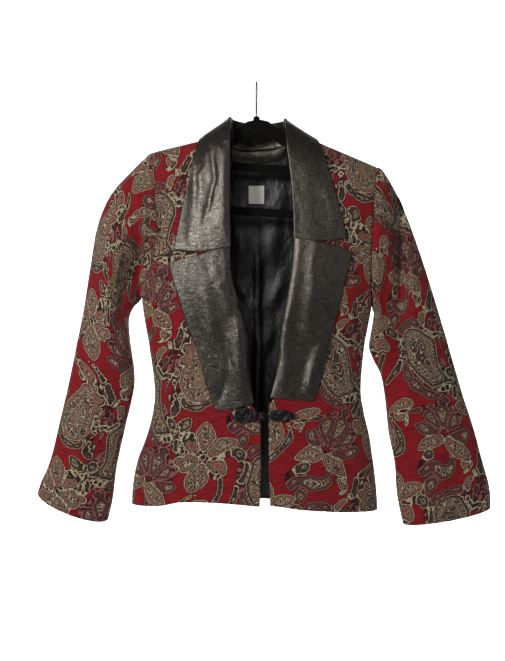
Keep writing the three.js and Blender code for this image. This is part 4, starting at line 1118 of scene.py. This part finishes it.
def noise(vector, size, detail=2.0, stretch=(1, 1, 1)):
    """Noise in the cloth's own millimetres, with patches of a size."""
    tree, scale = vector.id_data, [value / size for value in stretch]
    mapped = add(tree, "Mapping", {"Vector": vector, "Scale": scale}).outputs[0]
    return add(tree, "TexNoise", {"Vector": mapped, "Scale": 1.0, "Detail": detail}).outputs[0]


def new_group(name, inputs, outputs, kind="ShaderNodeTree"):
    tree = bpy.data.node_groups.new(name, kind)
    for sockets, way in ((inputs, "INPUT"), (outputs, "OUTPUT")):
        for title, socket_kind in sockets:
            tree.interface.new_socket(name=title, in_out=way, socket_type="NodeSocket" + socket_kind)
    return tree, tree.nodes.new("NodeGroupInput").outputs, tree.nodes.new("NodeGroupOutput").inputs


print("helpers are ready")

# %% Yarn colours
CRIMSON, DEEP_CRIMSON = paint("98141d"), paint("640c15")
INK, BROWN, UMBER = paint("100a09"), paint("3f2f27"), paint("281b16")
BEIGE, TAUPE_YARN, CREAM_YARN = paint("7d634f"), paint("4e3e35"), paint("b5a588")
PINK_YARN, PEACH, ROSE = paint("8c5351"), paint("8e6856"), paint("7d1f2b")
BAND_REACH = 27.0           # depth in millimetres at which the last band starts at the latest
BANDS = {
    CREAM: [
        (0, INK), (0.8, CREAM_YARN), (1.8, INK), (2.8, PEACH), (5.2, ROSE), (6.1, CREAM_YARN),
        (7.0, INK), (8.0, TAUPE_YARN), (11.4, PEACH), (12.4, BROWN), (15.2, CREAM_YARN), (16.1, INK),
        (17.0, PINK_YARN), (19.6, INK), (20.4, BEIGE)],
    TAUPE: [
        (0, INK), (0.8, CREAM_YARN), (1.6, INK), (2.5, BROWN), (5.2, CREAM_YARN), (6.0, INK),
        (7.0, TAUPE_YARN), (10.4, PINK_YARN), (11.3, INK), (12.2, BEIGE), (14.8, ROSE),
        (15.7, CREAM_YARN), (16.6, INK), (17.4, TAUPE_YARN), (20.4, BROWN)],
    PINK: [
        (0, INK), (0.8, PINK_YARN), (2.2, INK), (3.0, TAUPE_YARN), (5.0, ROSE), (5.9, CREAM_YARN),
        (6.7, UMBER), (9.6, PEACH), (10.6, INK), (11.5, BEIGE), (14.0, INK), (14.9, PINK_YARN),
        (17.5, BROWN)]}


def band_colours(depth, bands):
    ramp = add(depth.id_data, "ValToRGB", {0: calc("DIVIDE", depth, BAND_REACH)})
    ramp.color_ramp.interpolation = "CONSTANT"
    steps = ramp.color_ramp.elements
    steps[0].position, steps[0].color = bands[0][0] / BAND_REACH, bands[0][1]
    steps.remove(steps[1])
    for start, colour in bands[1:]:
        steps.new(start / BAND_REACH).color = colour
    return ramp.outputs[0]


print("bands:", {tone: len(bands) for tone, bands in BANDS.items()})

# %% Sizes of the weave, in millimetres
RAGGED = 1.2                # how far single yarns shift an outline
SCALLOP_PITCH, SCALLOP_DEPTH = 8.5, 0.7
TOOTH_PITCH, TOOTH_BAND = 2.9, (2.2, 4.6)
BEAD_PITCH, BEAD_DEPTH, BEAD_RIM, BEAD = 6.4, 8.4, 2.3, 1.5
VEIN_PITCH, VEIN_SLANT, VEIN_BAND = 4.6, 0.9, (5.2, 7.0)
SWIRL_SIZE, SWIRL_TURNS, SWIRL_DEPTH = 28.0, 14.0, 6.6
SPECK_DEPTH = 2.2
SPECKS = ((2.2, 0.6, 0.5, INK), (1.9, 0.64, 0.35, CREAM_YARN), (5.5, 0.6, 0.35, ROSE))
WEFT_PITCH = 1.1
print("the weave's ribs lie", WEFT_PITCH, "mm apart")

# %% The woven group
woven, given, result = new_group(
    "figured_weave",
    [("Depth", "Float"), ("Tone", "Float"), ("Along", "Float"), ("Beside", "Float"), ("Cloth", "Vector")],
    [("Colour", "Color"), ("Height", "Float")])
cloth, along, tone = given["Cloth"], given["Along"], given["Tone"]
ragged = minus(noise(cloth, 1.3, 1.0, (0.8, 1.2, 1)), 0.5)
scallop = calc("ABSOLUTE", calc("SINE", times(along, math.pi / SCALLOP_PITCH)))
depth = plus(given["Depth"], times(ragged, RAGGED))
depth = minus(depth, times(minus(1.0, scallop), SCALLOP_DEPTH))
shape = blend(above(tone, 0.5), band_colours(depth, BANDS[CREAM]), band_colours(depth, BANDS[TAUPE]))
shape = blend(above(tone, 1.5), shape, band_colours(depth, BANDS[PINK]))

tooth = times(above(repeat(along, TOOTH_PITCH), 0.6), within(depth, *TOOTH_BAND))
shape = blend(times(tooth, 0.75), shape, UMBER)
bead_along = times(minus(repeat(along, BEAD_PITCH), 0.5), BEAD_PITCH)
bead_across = minus(depth, BEAD_DEPTH)
from_bead = calc("SQRT", plus(calc("POWER", bead_along, 2.0), calc("POWER", bead_across, 2.0)))
shape = blend(below(from_bead, BEAD_RIM), shape, INK)
shape = blend(below(from_bead, BEAD), shape, CREAM_YARN)
vein = plus(along, times(calc("ABSOLUTE", given["Beside"]), VEIN_SLANT))
vein = times(above(repeat(vein, VEIN_PITCH), 0.72), within(depth, *VEIN_BAND))
shape = blend(times(vein, 0.6), shape, INK)

swirl = times(noise(cloth, SWIRL_SIZE, 1.0), SWIRL_TURNS)
swirl = calc("ABSOLUTE", minus(calc("FRACT", swirl), 0.5))
inner = above(depth, SWIRL_DEPTH)
for half_width, yarn in ((0.23, INK), (0.1, CREAM_YARN)):
    shape = blend(times(inner, below(swirl, half_width)), shape, yarn)
filled = above(depth, SPECK_DEPTH)
for size, limit, share, yarn in SPECKS:
    speck = above(noise(cloth, size, 2.0, (0.9, 1.1, 1)), limit)
    shape = blend(times(times(speck, filled), share), shape, yarn)

slub = stretched(noise(cloth, 1.7, 2.0, (0.08, 1, 1)), 0.34, 0.62)
fleck = above(noise(cloth, 1.7, 1.0, (0.3, 1, 1)), 0.66)
ground = blend(times(fleck, 0.45), blend(slub, DEEP_CRIMSON, CRIMSON), DEEP_CRIMSON)
in_shape = above(depth, 0.0)
grain = noise(cloth, 1.5, 2.0, (0.7, 1, 1))
shaded = scaled(blend(in_shape, ground, shape), stretched(grain, 0.3, 0.7, 0.62, 1.3))
woven.links.new(shaded, result["Colour"])
up_cloth = add(woven, "SeparateXYZ", {0: cloth}).outputs[1]
ribs = calc("SINE", times(up_cloth, 2 * math.pi / WEFT_PITCH))
height = plus(times(ribs, 0.12), times(in_shape, 0.5))
woven.links.new(plus(height, times(grain, 0.9)), result["Height"])
print("woven group:", len(woven.nodes), "nodes")


# %% Brocade
def attribute(tree, name):
    return add(tree, "Attribute", attribute_name=name, attribute_type="GEOMETRY").outputs["Vector"]


def bumped(height, strength, distance):
    values = {"Height": height, "Strength": strength, "Distance": distance}
    return add(height.id_data, "Bump", values).outputs[0]


brocade, tree, sockets = finish_material("brocade", {
    "Roughness": 0.88, "Specular IOR Level": 0.25, "Sheen Weight": 0.12, "Sheen Roughness": 0.5})
figure = add(tree, "SeparateXYZ", {0: attribute(tree, "figure")}).outputs
trace = add(tree, "SeparateXYZ", {0: attribute(tree, "trace")}).outputs
group = add(tree, "Group", node_tree=woven)
for source, target in ((figure[0], "Depth"), (figure[1], "Tone"), (trace[0], "Along"), (trace[1], "Beside"),
                       (attribute(tree, "cloth"), "Cloth")):
    tree.links.new(source, group.inputs[target])
tree.links.new(group.outputs["Colour"], sockets["Base Color"])
tree.links.new(bumped(group.outputs["Height"], 0.35, 0.0006), sockets["Normal"])
print("brocade is ready")

# %% [markdown]
# ## Taffeta, satin and the small finishes
# Taffeta is a plain weave of crisp yarns. It mirrors light softly, and its uneven yarns show as fine
# streaks both ways. Satin has long floats on its face, so it is darker and smoother, and its gloss
# breaks only at folds. Both use one group for the streaks of the yarns, with their own sizes.

# %% Yarn streaks
yarns, given, result = new_group("yarn_streaks", [("Cloth", "Vector"), ("Size", "Float")],
                                 [("Streaks", "Float"), ("Softness", "Float")])
yarn_place = scaled(given["Cloth"], calc("DIVIDE", 1.0, given["Size"]))
weft, warp = noise(yarn_place, 1.0, 2.0, (0.06, 1, 1)), noise(yarn_place, 1.0, 2.0, (1, 0.05, 1))
yarns.links.new(plus(times(weft, 0.6), times(warp, 0.4)), result["Streaks"])
yarns.links.new(noise(yarn_place, 34.0, 3.0, (1, 0.6, 1)), result["Softness"])
print("streak group:", len(yarns.nodes), "nodes")


def in_millimetres(tree):
    """Object coordinates in millimetres, for pieces whose pattern need not follow a surface."""
    return scaled(add(tree, "TexCoord").outputs["Object"], 1 / MM)


def streaked(name, dark, light, size, roughness, spread, settings, bump, on_cloth=True, crinkle=4.0):
    """A cloth or cord of uneven yarns; its roughness varies by a spread round the middle value."""
    material, tree, sockets = finish_material(name, settings)
    group = add(tree, "Group", node_tree=yarns)
    tree.links.new(attribute(tree, "cloth") if on_cloth else in_millimetres(tree), group.inputs["Cloth"])
    group.inputs["Size"].default_value = size
    streaks, softness = group.outputs["Streaks"], group.outputs["Softness"]
    tree.links.new(blend(stretched(streaks, 0.36, 0.64), paint(dark), paint(light)), sockets["Base Color"])
    tree.links.new(plus(times(softness, spread), roughness - spread / 2), sockets["Roughness"])
    height = plus(times(streaks, 0.7), times(softness, crinkle))
    tree.links.new(bumped(height, *bump), sockets["Normal"])
    return material


taffeta = streaked("taffeta", "2f2c29", "6c675f", 0.8, 0.3, 0.12,
                   {"Specular IOR Level": 0.5, "Metallic": 0.9}, (0.6, 0.0014), crinkle=2.6)
satin = streaked("satin_lining", "0d0d0d", "161615", 0.8, 0.4, 0.14,
                 {"Specular IOR Level": 0.6, "Metallic": 0.0}, (0.5, 0.0012), crinkle=8.0)
inside_satin = streaked("lining_inside", "0d0d0f", "19191c", 1.0, 0.5, 0.1,
                        {"Specular IOR Level": 0.4, "Metallic": 0.0}, (0.3, 0.0008))
label_tape = streaked("label_tape", "fffaea", "fffdf4", 0.9, 0.8, 0.1,
                      {"Specular IOR Level": 0.3}, (0.3, 0.0006))
print("streaked finishes:", [m.name for m in (taffeta, satin, inside_satin, label_tape)])

# %% [markdown]
# ## Cord, thread, flocking and steel
# Satin cord shines along its strands, so it is black with a soft gloss. Flocking is a coat of fine
# upright fibres: hardly any gloss seen from the front, and a pale sheen where it turns away. The
# hook is drawn steel, with long faint scratches that spread its reflections.

# %% Trim materials
cord_finish = streaked("braided_cord", "050505", "101110", 0.9, 0.36, 0.08,
                       {"Specular IOR Level": 0.5}, (0.15, 0.0003), on_cloth=False)
black_thread = streaked("black_thread", "0b0b0c", "1d1d1f", 0.5, 0.5, 0.1,
                        {"Specular IOR Level": 0.5}, (0.3, 0.0003), on_cloth=False)
pale_thread = streaked("pale_thread", "b9b09a", "d8cfb8", 0.5, 0.6, 0.1,
                       {"Specular IOR Level": 0.3}, (0.3, 0.0003), on_cloth=False)

flocking, tree, sockets = finish_material("flocking", {
    "Roughness": 0.95, "Specular IOR Level": 0.1, "Sheen Weight": 0.06, "Sheen Roughness": 0.35})
pile = noise(in_millimetres(tree), 0.8, 3.0)
tree.links.new(blend(pile, paint("070707"), paint("171716")), sockets["Base Color"])
tree.links.new(bumped(pile, 0.4, 0.0004), sockets["Normal"])

steel, tree, sockets = finish_material("steel", {"Metallic": 1.0})
scratches = noise(in_millimetres(tree), 0.7, 3.0, (1, 0.12, 0.12))
tree.links.new(blend(scratches, paint("6d6b66"), paint("a9a7a0")), sockets["Base Color"])
tree.links.new(plus(times(scratches, 0.16), 0.34), sockets["Roughness"])
tree.links.new(bumped(scratches, 0.2, 0.0002), sockets["Normal"])
print("trim finishes are ready")

# %% [markdown]
# ## The frog
# A frog closes a front without a buttonhole: a knot on one side slips into a loop on the other, and
# each is held by a flat lobe of interlaced cord. The cord is laid double, so each run here is two thin
# tubes side by side, and the line of light along each of them shows the braid. The path of a lobe is a
# closed curve that crosses itself, rises over one run and dives under the next.

# %% Tubes and doubled cord
def path_frames(points, closed):
    """The direction of a path, and two directions across it."""
    if closed:
        ways = unit(np.roll(points, -1, axis=0) - np.roll(points, 1, axis=0))
    else:
        ways = unit(np.gradient(points, axis=0))
    aside = unit(np.cross(ways, np.array([0.02, -1.0, 0.03])))
    return ways, aside, np.cross(aside, ways)


def rings_along(centres, radii, aside, over, sides, closed=False):
    """Corner points and faces of a tube whose round rings stand on the centres."""
    turns = np.linspace(0, 2 * math.pi, sides, endpoint=False)[None, :, None]
    spokes = np.cos(turns) * aside[:, None] + np.sin(turns) * over[:, None]
    count = len(centres)
    ring = np.arange(count if closed else count - 1)[:, None]
    start, after = ring * sides, (ring + 1) % count * sides
    column = np.arange(sides)[None]
    beside = (column + 1) % sides
    faces = np.stack([start + column, start + beside, after + beside, after + column], axis=-1)
    return (centres[:, None] + radii[:, None, None] * spokes).reshape(-1, 3), faces.reshape(-1, 4)


def tube(points, radius, closed):
    """A tube of eight sides along a path, with round ends where it is open."""
    ways, aside, over = path_frames(points, closed)
    scales = np.ones(len(points))
    if not closed:                                      # two rings at each end close it in a dome
        scales = np.concatenate([[0.05, 0.72], scales, [0.72, 0.05]])
        stick = radius * np.array([1.0, 0.6])
        points = np.concatenate([points[:1] - ways[:1] * stick[:, None], points,
                                 points[-1:] + ways[-1:] * stick[::-1, None]])
        aside, over = (np.pad(way, ((2, 2), (0, 0)), mode="edge") for way in (aside, over))
    return rings_along(points, radius * scales, aside, over, 8, closed)


def doubled(points, closed, width=4.0):
    """Two round strands side by side along a path."""
    aside = path_frames(points, closed)[1]
    return [tube(points + way * width / 4 * aside, width * 0.26, closed) for way in (-1, 1)]


def joined(name, parts, fill=False):
    """One object of several point and face lists, with its open rings filled if asked."""
    total, points, faces = 0, [], []
    for part_points, part_faces in parts:
        points.append(part_points)
        faces.append(part_faces + total)
        total += len(part_points)
    mesh = bpy.data.meshes.new(name)
    mesh.from_pydata((np.concatenate(points) * MM).tolist(), [], np.concatenate(faces).tolist())
    mesh.polygons.foreach_set("use_smooth", np.ones(len(mesh.polygons), bool))
    build = bmesh.new()
    build.from_mesh(mesh)
    if fill:
        bmesh.ops.holes_fill(build, edges=[edge for edge in build.edges if edge.is_boundary], sides=0)
    bmesh.ops.recalc_face_normals(build, faces=build.faces)
    build.to_mesh(mesh)
    build.free()
    return new_object(name, mesh)


print("cord helpers are ready")

# %% Lobes and knot of the frog
CORD, CORD_REST = 4.4, 0.4      # width of the cord, and its gap from the cloth
LOBES = table("middleX middleZ halfLong halfHigh taper leadX", [
    (-19, -542, 17.5, 12.0, -0.1, 1.4), (41, -542, 21, 11.5, 0.5, 16.7)])
KNOT_X, KNOT_Z, KNOT_RADIUS = 9, -543, 7.5
KNOT_TURNS = ((20, 0), (75, 60), (75, 120), (75, 180))      # lean and spin of each turn, in degrees
RUNS = 3                    # times that the cord of a lobe crosses from top to bottom and back


def seated(x, z, rise):
    """A point of cord on the fronts, lifted where it crosses another run."""
    return np.stack([x, front_skin(x, z, CORD_REST) - CORD / 2 - rise, z], axis=-1)


def frog_lobe(name, index):
    middle_x, middle_z, long, high, taper, lead_x = (column[index] for column in LOBES.values())
    turn = np.linspace(0, 2 * math.pi, 340, endpoint=False)
    x = (long - CORD / 2) * np.cos(turn)
    narrowed = 1 - taper * (x / long + 1) / 2
    z = (high - CORD / 2) * np.sin(RUNS * turn + 0.25) * narrowed * (1 - 0.62 * (x / long) ** 2)
    rim_z = (high - CORD / 2) * np.sin(turn) * narrowed
    weave_over = np.cos((RUNS + 2) * turn + 0.6)
    paths = (seated(middle_x + x, middle_z + z, 3.4 + 1.3 * weave_over),
             seated(middle_x + 0.86 * x, middle_z - 0.9 * z, 1.6 - 1.2 * weave_over),
             seated(middle_x + x, middle_z + rim_z, 0.4),
             seated(middle_x + 0.42 * x, middle_z + 0.3 * rim_z, 0.2))
    share = np.linspace(0, 1, 40)
    near = middle_x + math.copysign(long * 0.45, lead_x - middle_x)
    arch = np.sin(share * math.pi)
    lead = seated(mix(near, lead_x, share), middle_z - share + 1.2 * arch, 0.8 * arch)
    closed = [part for path in paths for part in doubled(path, True, 3.4)]
    return joined(name, closed + doubled(lead, False))


frog_pieces = {f"frog_{side}": frog_lobe(f"frog_{side}_cord", index)
               for index, side in enumerate(("right", "left"))}
knot_seat = float(front_skin(np.array([float(KNOT_X)]), np.array([float(KNOT_Z)]), CORD_REST)[0])
centre = np.array([KNOT_X, knot_seat - KNOT_RADIUS * 0.8, KNOT_Z])
turn = np.linspace(0, 2 * math.pi, 130, endpoint=False)
wraps = []
for lean, spin in np.radians(KNOT_TURNS):
    first = np.array([math.cos(spin), 0, math.sin(spin)])
    second = np.array([-math.sin(spin) * math.cos(lean), -math.sin(lean), math.cos(spin) * math.cos(lean)])
    ball = (KNOT_RADIUS - 2.0) * (np.cos(turn)[:, None] * first + np.sin(turn)[:, None] * second)
    swell = 1 + 0.12 * np.cos(3 * turn)[:, None]
    wraps += doubled(centre + ball * swell * np.array([1, 0.8, 1]), True, 3.6)
frog_pieces["frog_knot"] = joined("frog_knot_cord", wraps)
print("frog faces:", {node: len(piece.data.polygons) for node, piece in frog_pieces.items()})

# %% [markdown]
# ## The hook
# The hook is one bent steel wire. A short table of points, the same as in the CAD, gives its path, and
# a finer tube along it gives it a round section with a domed tip.

# %% Wire of the hook
WIRE, HOOK_RADIUS, NECK_TOP = 3.5, 21, -54.5
hook_centre = WIRE / 2 - HOOK_RADIUS
shank = [(0.0, NECK_TOP + 0.3 + rise) for rise in (0, 4.5, 9)]
bend = [(HOOK_RADIUS * math.cos(angle), hook_centre + HOOK_RADIUS * math.sin(angle))
        for angle in np.radians(np.linspace(-52, 205, 15))]
route = table("y z", shank + bend)
place = np.linspace(0, len(shank) + len(bend) - 1, 120)
wire_path = np.stack([0 * place, at_row(route, place, "y"), at_row(route, place, "z")], axis=-1)
ways = unit(np.gradient(wire_path, axis=0))
aside = np.broadcast_to(np.array([1.0, 0, 0]), ways.shape)
dome = np.concatenate([np.ones(len(place) - 3), np.sqrt(1 - np.array([0.35, 0.65, 0.93]) ** 2)])
wire = rings_along(wire_path, WIRE / 2 * dome, aside, np.cross(aside, ways), 20)
hook_piece = joined("hook_wire", [wire], fill=True)
print("hook faces:", len(hook_piece.data.polygons))

# %% [markdown]
# ## Stitches
# Machine stitches are the clearest case of a thing that repeats along a path. One Geometry Nodes tree
# does it: it resamples the path at the stitch pitch, sets one small rounded stitch on each point,
# turns it along the path, realizes the copies and gives them their thread.

# %% Stitch tree
def stitch_tree():
    tree, given, result = new_group(
        "stitches",
        [("Path", "Geometry"), ("Pitch", "Float"), ("Length", "Float"), ("Width", "Float"),
         ("Thread", "Material")],
        [("Stitches", "Geometry")], "GeometryNodeTree")

    def node(kind, inputs=None, **settings):
        return add(tree, kind, inputs, **settings).outputs[0]

    curve = node("GeometryNodeMeshToCurve", {0: given["Path"]})
    even = node("GeometryNodeResampleCurve", {"Curve": curve, "Length": given["Pitch"]}, mode="LENGTH")
    ball = node("GeometryNodeMeshIcoSphere", {"Radius": 1.0, "Subdivisions": 2})
    size = node("CombineXYZ", {"X": given["Width"], "Y": given["Width"], "Z": given["Length"]})
    stitch = node("GeometryNodeTransform", {"Geometry": ball, "Scale": size})
    turned = node("FunctionNodeAlignEulerToVector", {"Vector": node("GeometryNodeInputTangent")}, axis="Z")
    placed = node("GeometryNodeInstanceOnPoints", {"Points": even, "Instance": stitch, "Rotation": turned})
    real = node("GeometryNodeRealizeInstances", {0: placed})
    threaded = node("GeometryNodeSetMaterial", {"Geometry": real, "Material": given["Thread"]})
    tree.links.new(threaded, result[0])
    return tree


STITCHES = stitch_tree()


def sewn(name, x, y, z, pitch, length, width, thread):
    """Stitches along a line of points, all in millimetres."""
    line = np.stack([x, y, z], axis=-1) * MM
    mesh = bpy.data.meshes.new(name)
    mesh.from_pydata(line.tolist(), [(k, k + 1) for k in range(len(line) - 1)], [])
    piece = new_object(name, mesh)
    modifier = piece.modifiers.new("stitches", "NODES")
    modifier.node_group = STITCHES
    values = {"Pitch": pitch * MM, "Length": length * MM / 2, "Width": width * MM / 2, "Thread": thread}
    for socket in STITCHES.interface.items_tree:
        if socket.item_type == "SOCKET" and socket.name in values:
            modifier[socket.identifier] = values[socket.name]
    bpy.context.view_layer.update()
    made = bpy.data.meshes.new_from_object(piece.evaluated_get(bpy.context.evaluated_depsgraph_get()))
    made.name = name
    piece.modifiers.clear()
    piece.data = made
    made.polygons.foreach_set("use_smooth", np.ones(len(made.polygons), bool))
    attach(piece, "root")
    return len(made.polygons)


print("stitch tree:", len(STITCHES.nodes), "nodes")

# %% [markdown]
# ## Cutting and dressing the pieces
# Each piece now gets three things: the values that its cloth's material reads, its materials, and its
# place in the model. The brocade's pattern is laid on each panel with its own shift, as a cutter lays
# pattern pieces on the cloth, so the design breaks at the seams as it does on a real jacket.

# %% Helpers that dress a piece
FLAT = {        # width and length of the flat cut in mm, and the share of that rectangle that it fills
    "front": (108, 605, 0.6), "side_front": (130, 605, 0.69), "back": (430, 615, 0.87),
    "sleeve": (315, 600, 0.77), "collar": (600, 92, 0.86), "collar_stand": (205, 43, 1),
    "lapel": (105, 258, 0.84), "lining_back": (420, 575, 0.76), "neck_facing": (92, 19, 1),
    "label": (26, 30, 1)}


def dress(piece, slot, node, *materials, flat=None, held="hung", rests_on="hanger"):
    for material in materials:
        piece.data.materials.append(material)
    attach(piece, "root")
    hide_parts(node)
    if flat:
        width, length, share = flat
        width, length = width * MM, length * MM


def dress_cloth(made, slot, node, part, face, under, shift=None, **hold):
    """The same for cloth. A shift, for brocade only, is where its panel lies on the woven design."""
    piece, across, along = made
    set_corners(piece, "cloth", np.stack([across, along, 0 * across], axis=-1))
    if shift:
        for name, values in zip(("figure", "trace"), woven_figure(across + shift[0], along + shift[1])):
            set_corners(piece, name, values)
    dress(piece, slot, node, face, under, flat=FLAT[part], **hold)


print("cloth pieces to cut:", len(FLAT), "kinds")

# %% Brocade panels and sleeves
SHIFTS = {"front_right": (40, 0), "front_left": (160, 90), "back": (20, 150),
          "sleeve_right": (90, 210), "sleeve_left": (30, 60)}
panels = [(made, f"{part}_{side}", part, f"front_{side}") for side, pieces in front_pieces.items()
          for made, part in zip(pieces, ("front", "side_front"))]
panels += [(back_made, "back", "back", "back")]
panels += [(made, f"sleeve_{side}", "sleeve", f"sleeve_{side}") for side, made in sleeve_pieces.items()]
for made, node, part, shift in panels:
    dress_cloth(made, "brocade", node, part, brocade, inside_satin, SHIFTS[shift])
print("brocade pieces:", len(panels))

# %% Taffeta, lining and label
for node, made in taffeta_pieces.items():
    part, _, side = node.partition("_")
    dress_cloth(made, "taffeta", node, part, taffeta, taffeta, held="folded",
                rests_on=f"front_{side}" if side else "back")
for made, slot, node, finish, rest in (
        (stand_made, "taffeta", "collar_stand", taffeta, "back"),
        (lining_made, "satin_lining", "lining_back", satin, "back"),
        (facing_made, "taffeta", "neck_facing", taffeta, "back"),
        (label_made, "label_tape", "label", label_tape, "lining_back")):
    dress_cloth(made, slot, node, node, finish, finish, rests_on=rest)
print("taffeta strips:", len(taffeta_pieces))

# %% Frog, hanger and hook
for node, piece in frog_pieces.items():
    dress(piece, "braided_cord", node, cord_finish)
dress(hook_piece, "steel", "hanger_hook", steel)
for node in ("hanger", "hanger_neck"):
    cad_mesh = frame["nodes"][node].data
    cad_mesh.materials.clear()
    cad_mesh.materials.append(flocking)
print("trim is dressed")

# %% Seams sewn by machine
STITCH_INSET = 1.2
made_faces = 0
x = np.linspace(STITCH_INSET - LABEL_HALF, LABEL_HALF - STITCH_INSET, 24)
for end, height in (("top", LABEL_TOP - STITCH_INSET), ("low", LABEL_BOTTOM + STITCH_INSET)):
    z = np.full(24, height)
    y = back_y(x, z, LABEL_LIFT) - label_curl(x, z) - 0.1
    made_faces += sewn(f"label_stitches_{end}", x, y, z, 2.4, 1.5, 0.45, pale_thread)
x = np.linspace(NECK_MIDDLE - 43, NECK_MIDDLE + 43, 90)
z = back_top(x) - FACING_DEPTH + 0.8
y = back_y(x, z, LABEL_LIFT) - 0.5
made_faces += sewn("facing_stitches", x, y, z, 3.0, 2.1, 0.5, black_thread)
print("stitch faces:", made_faces)
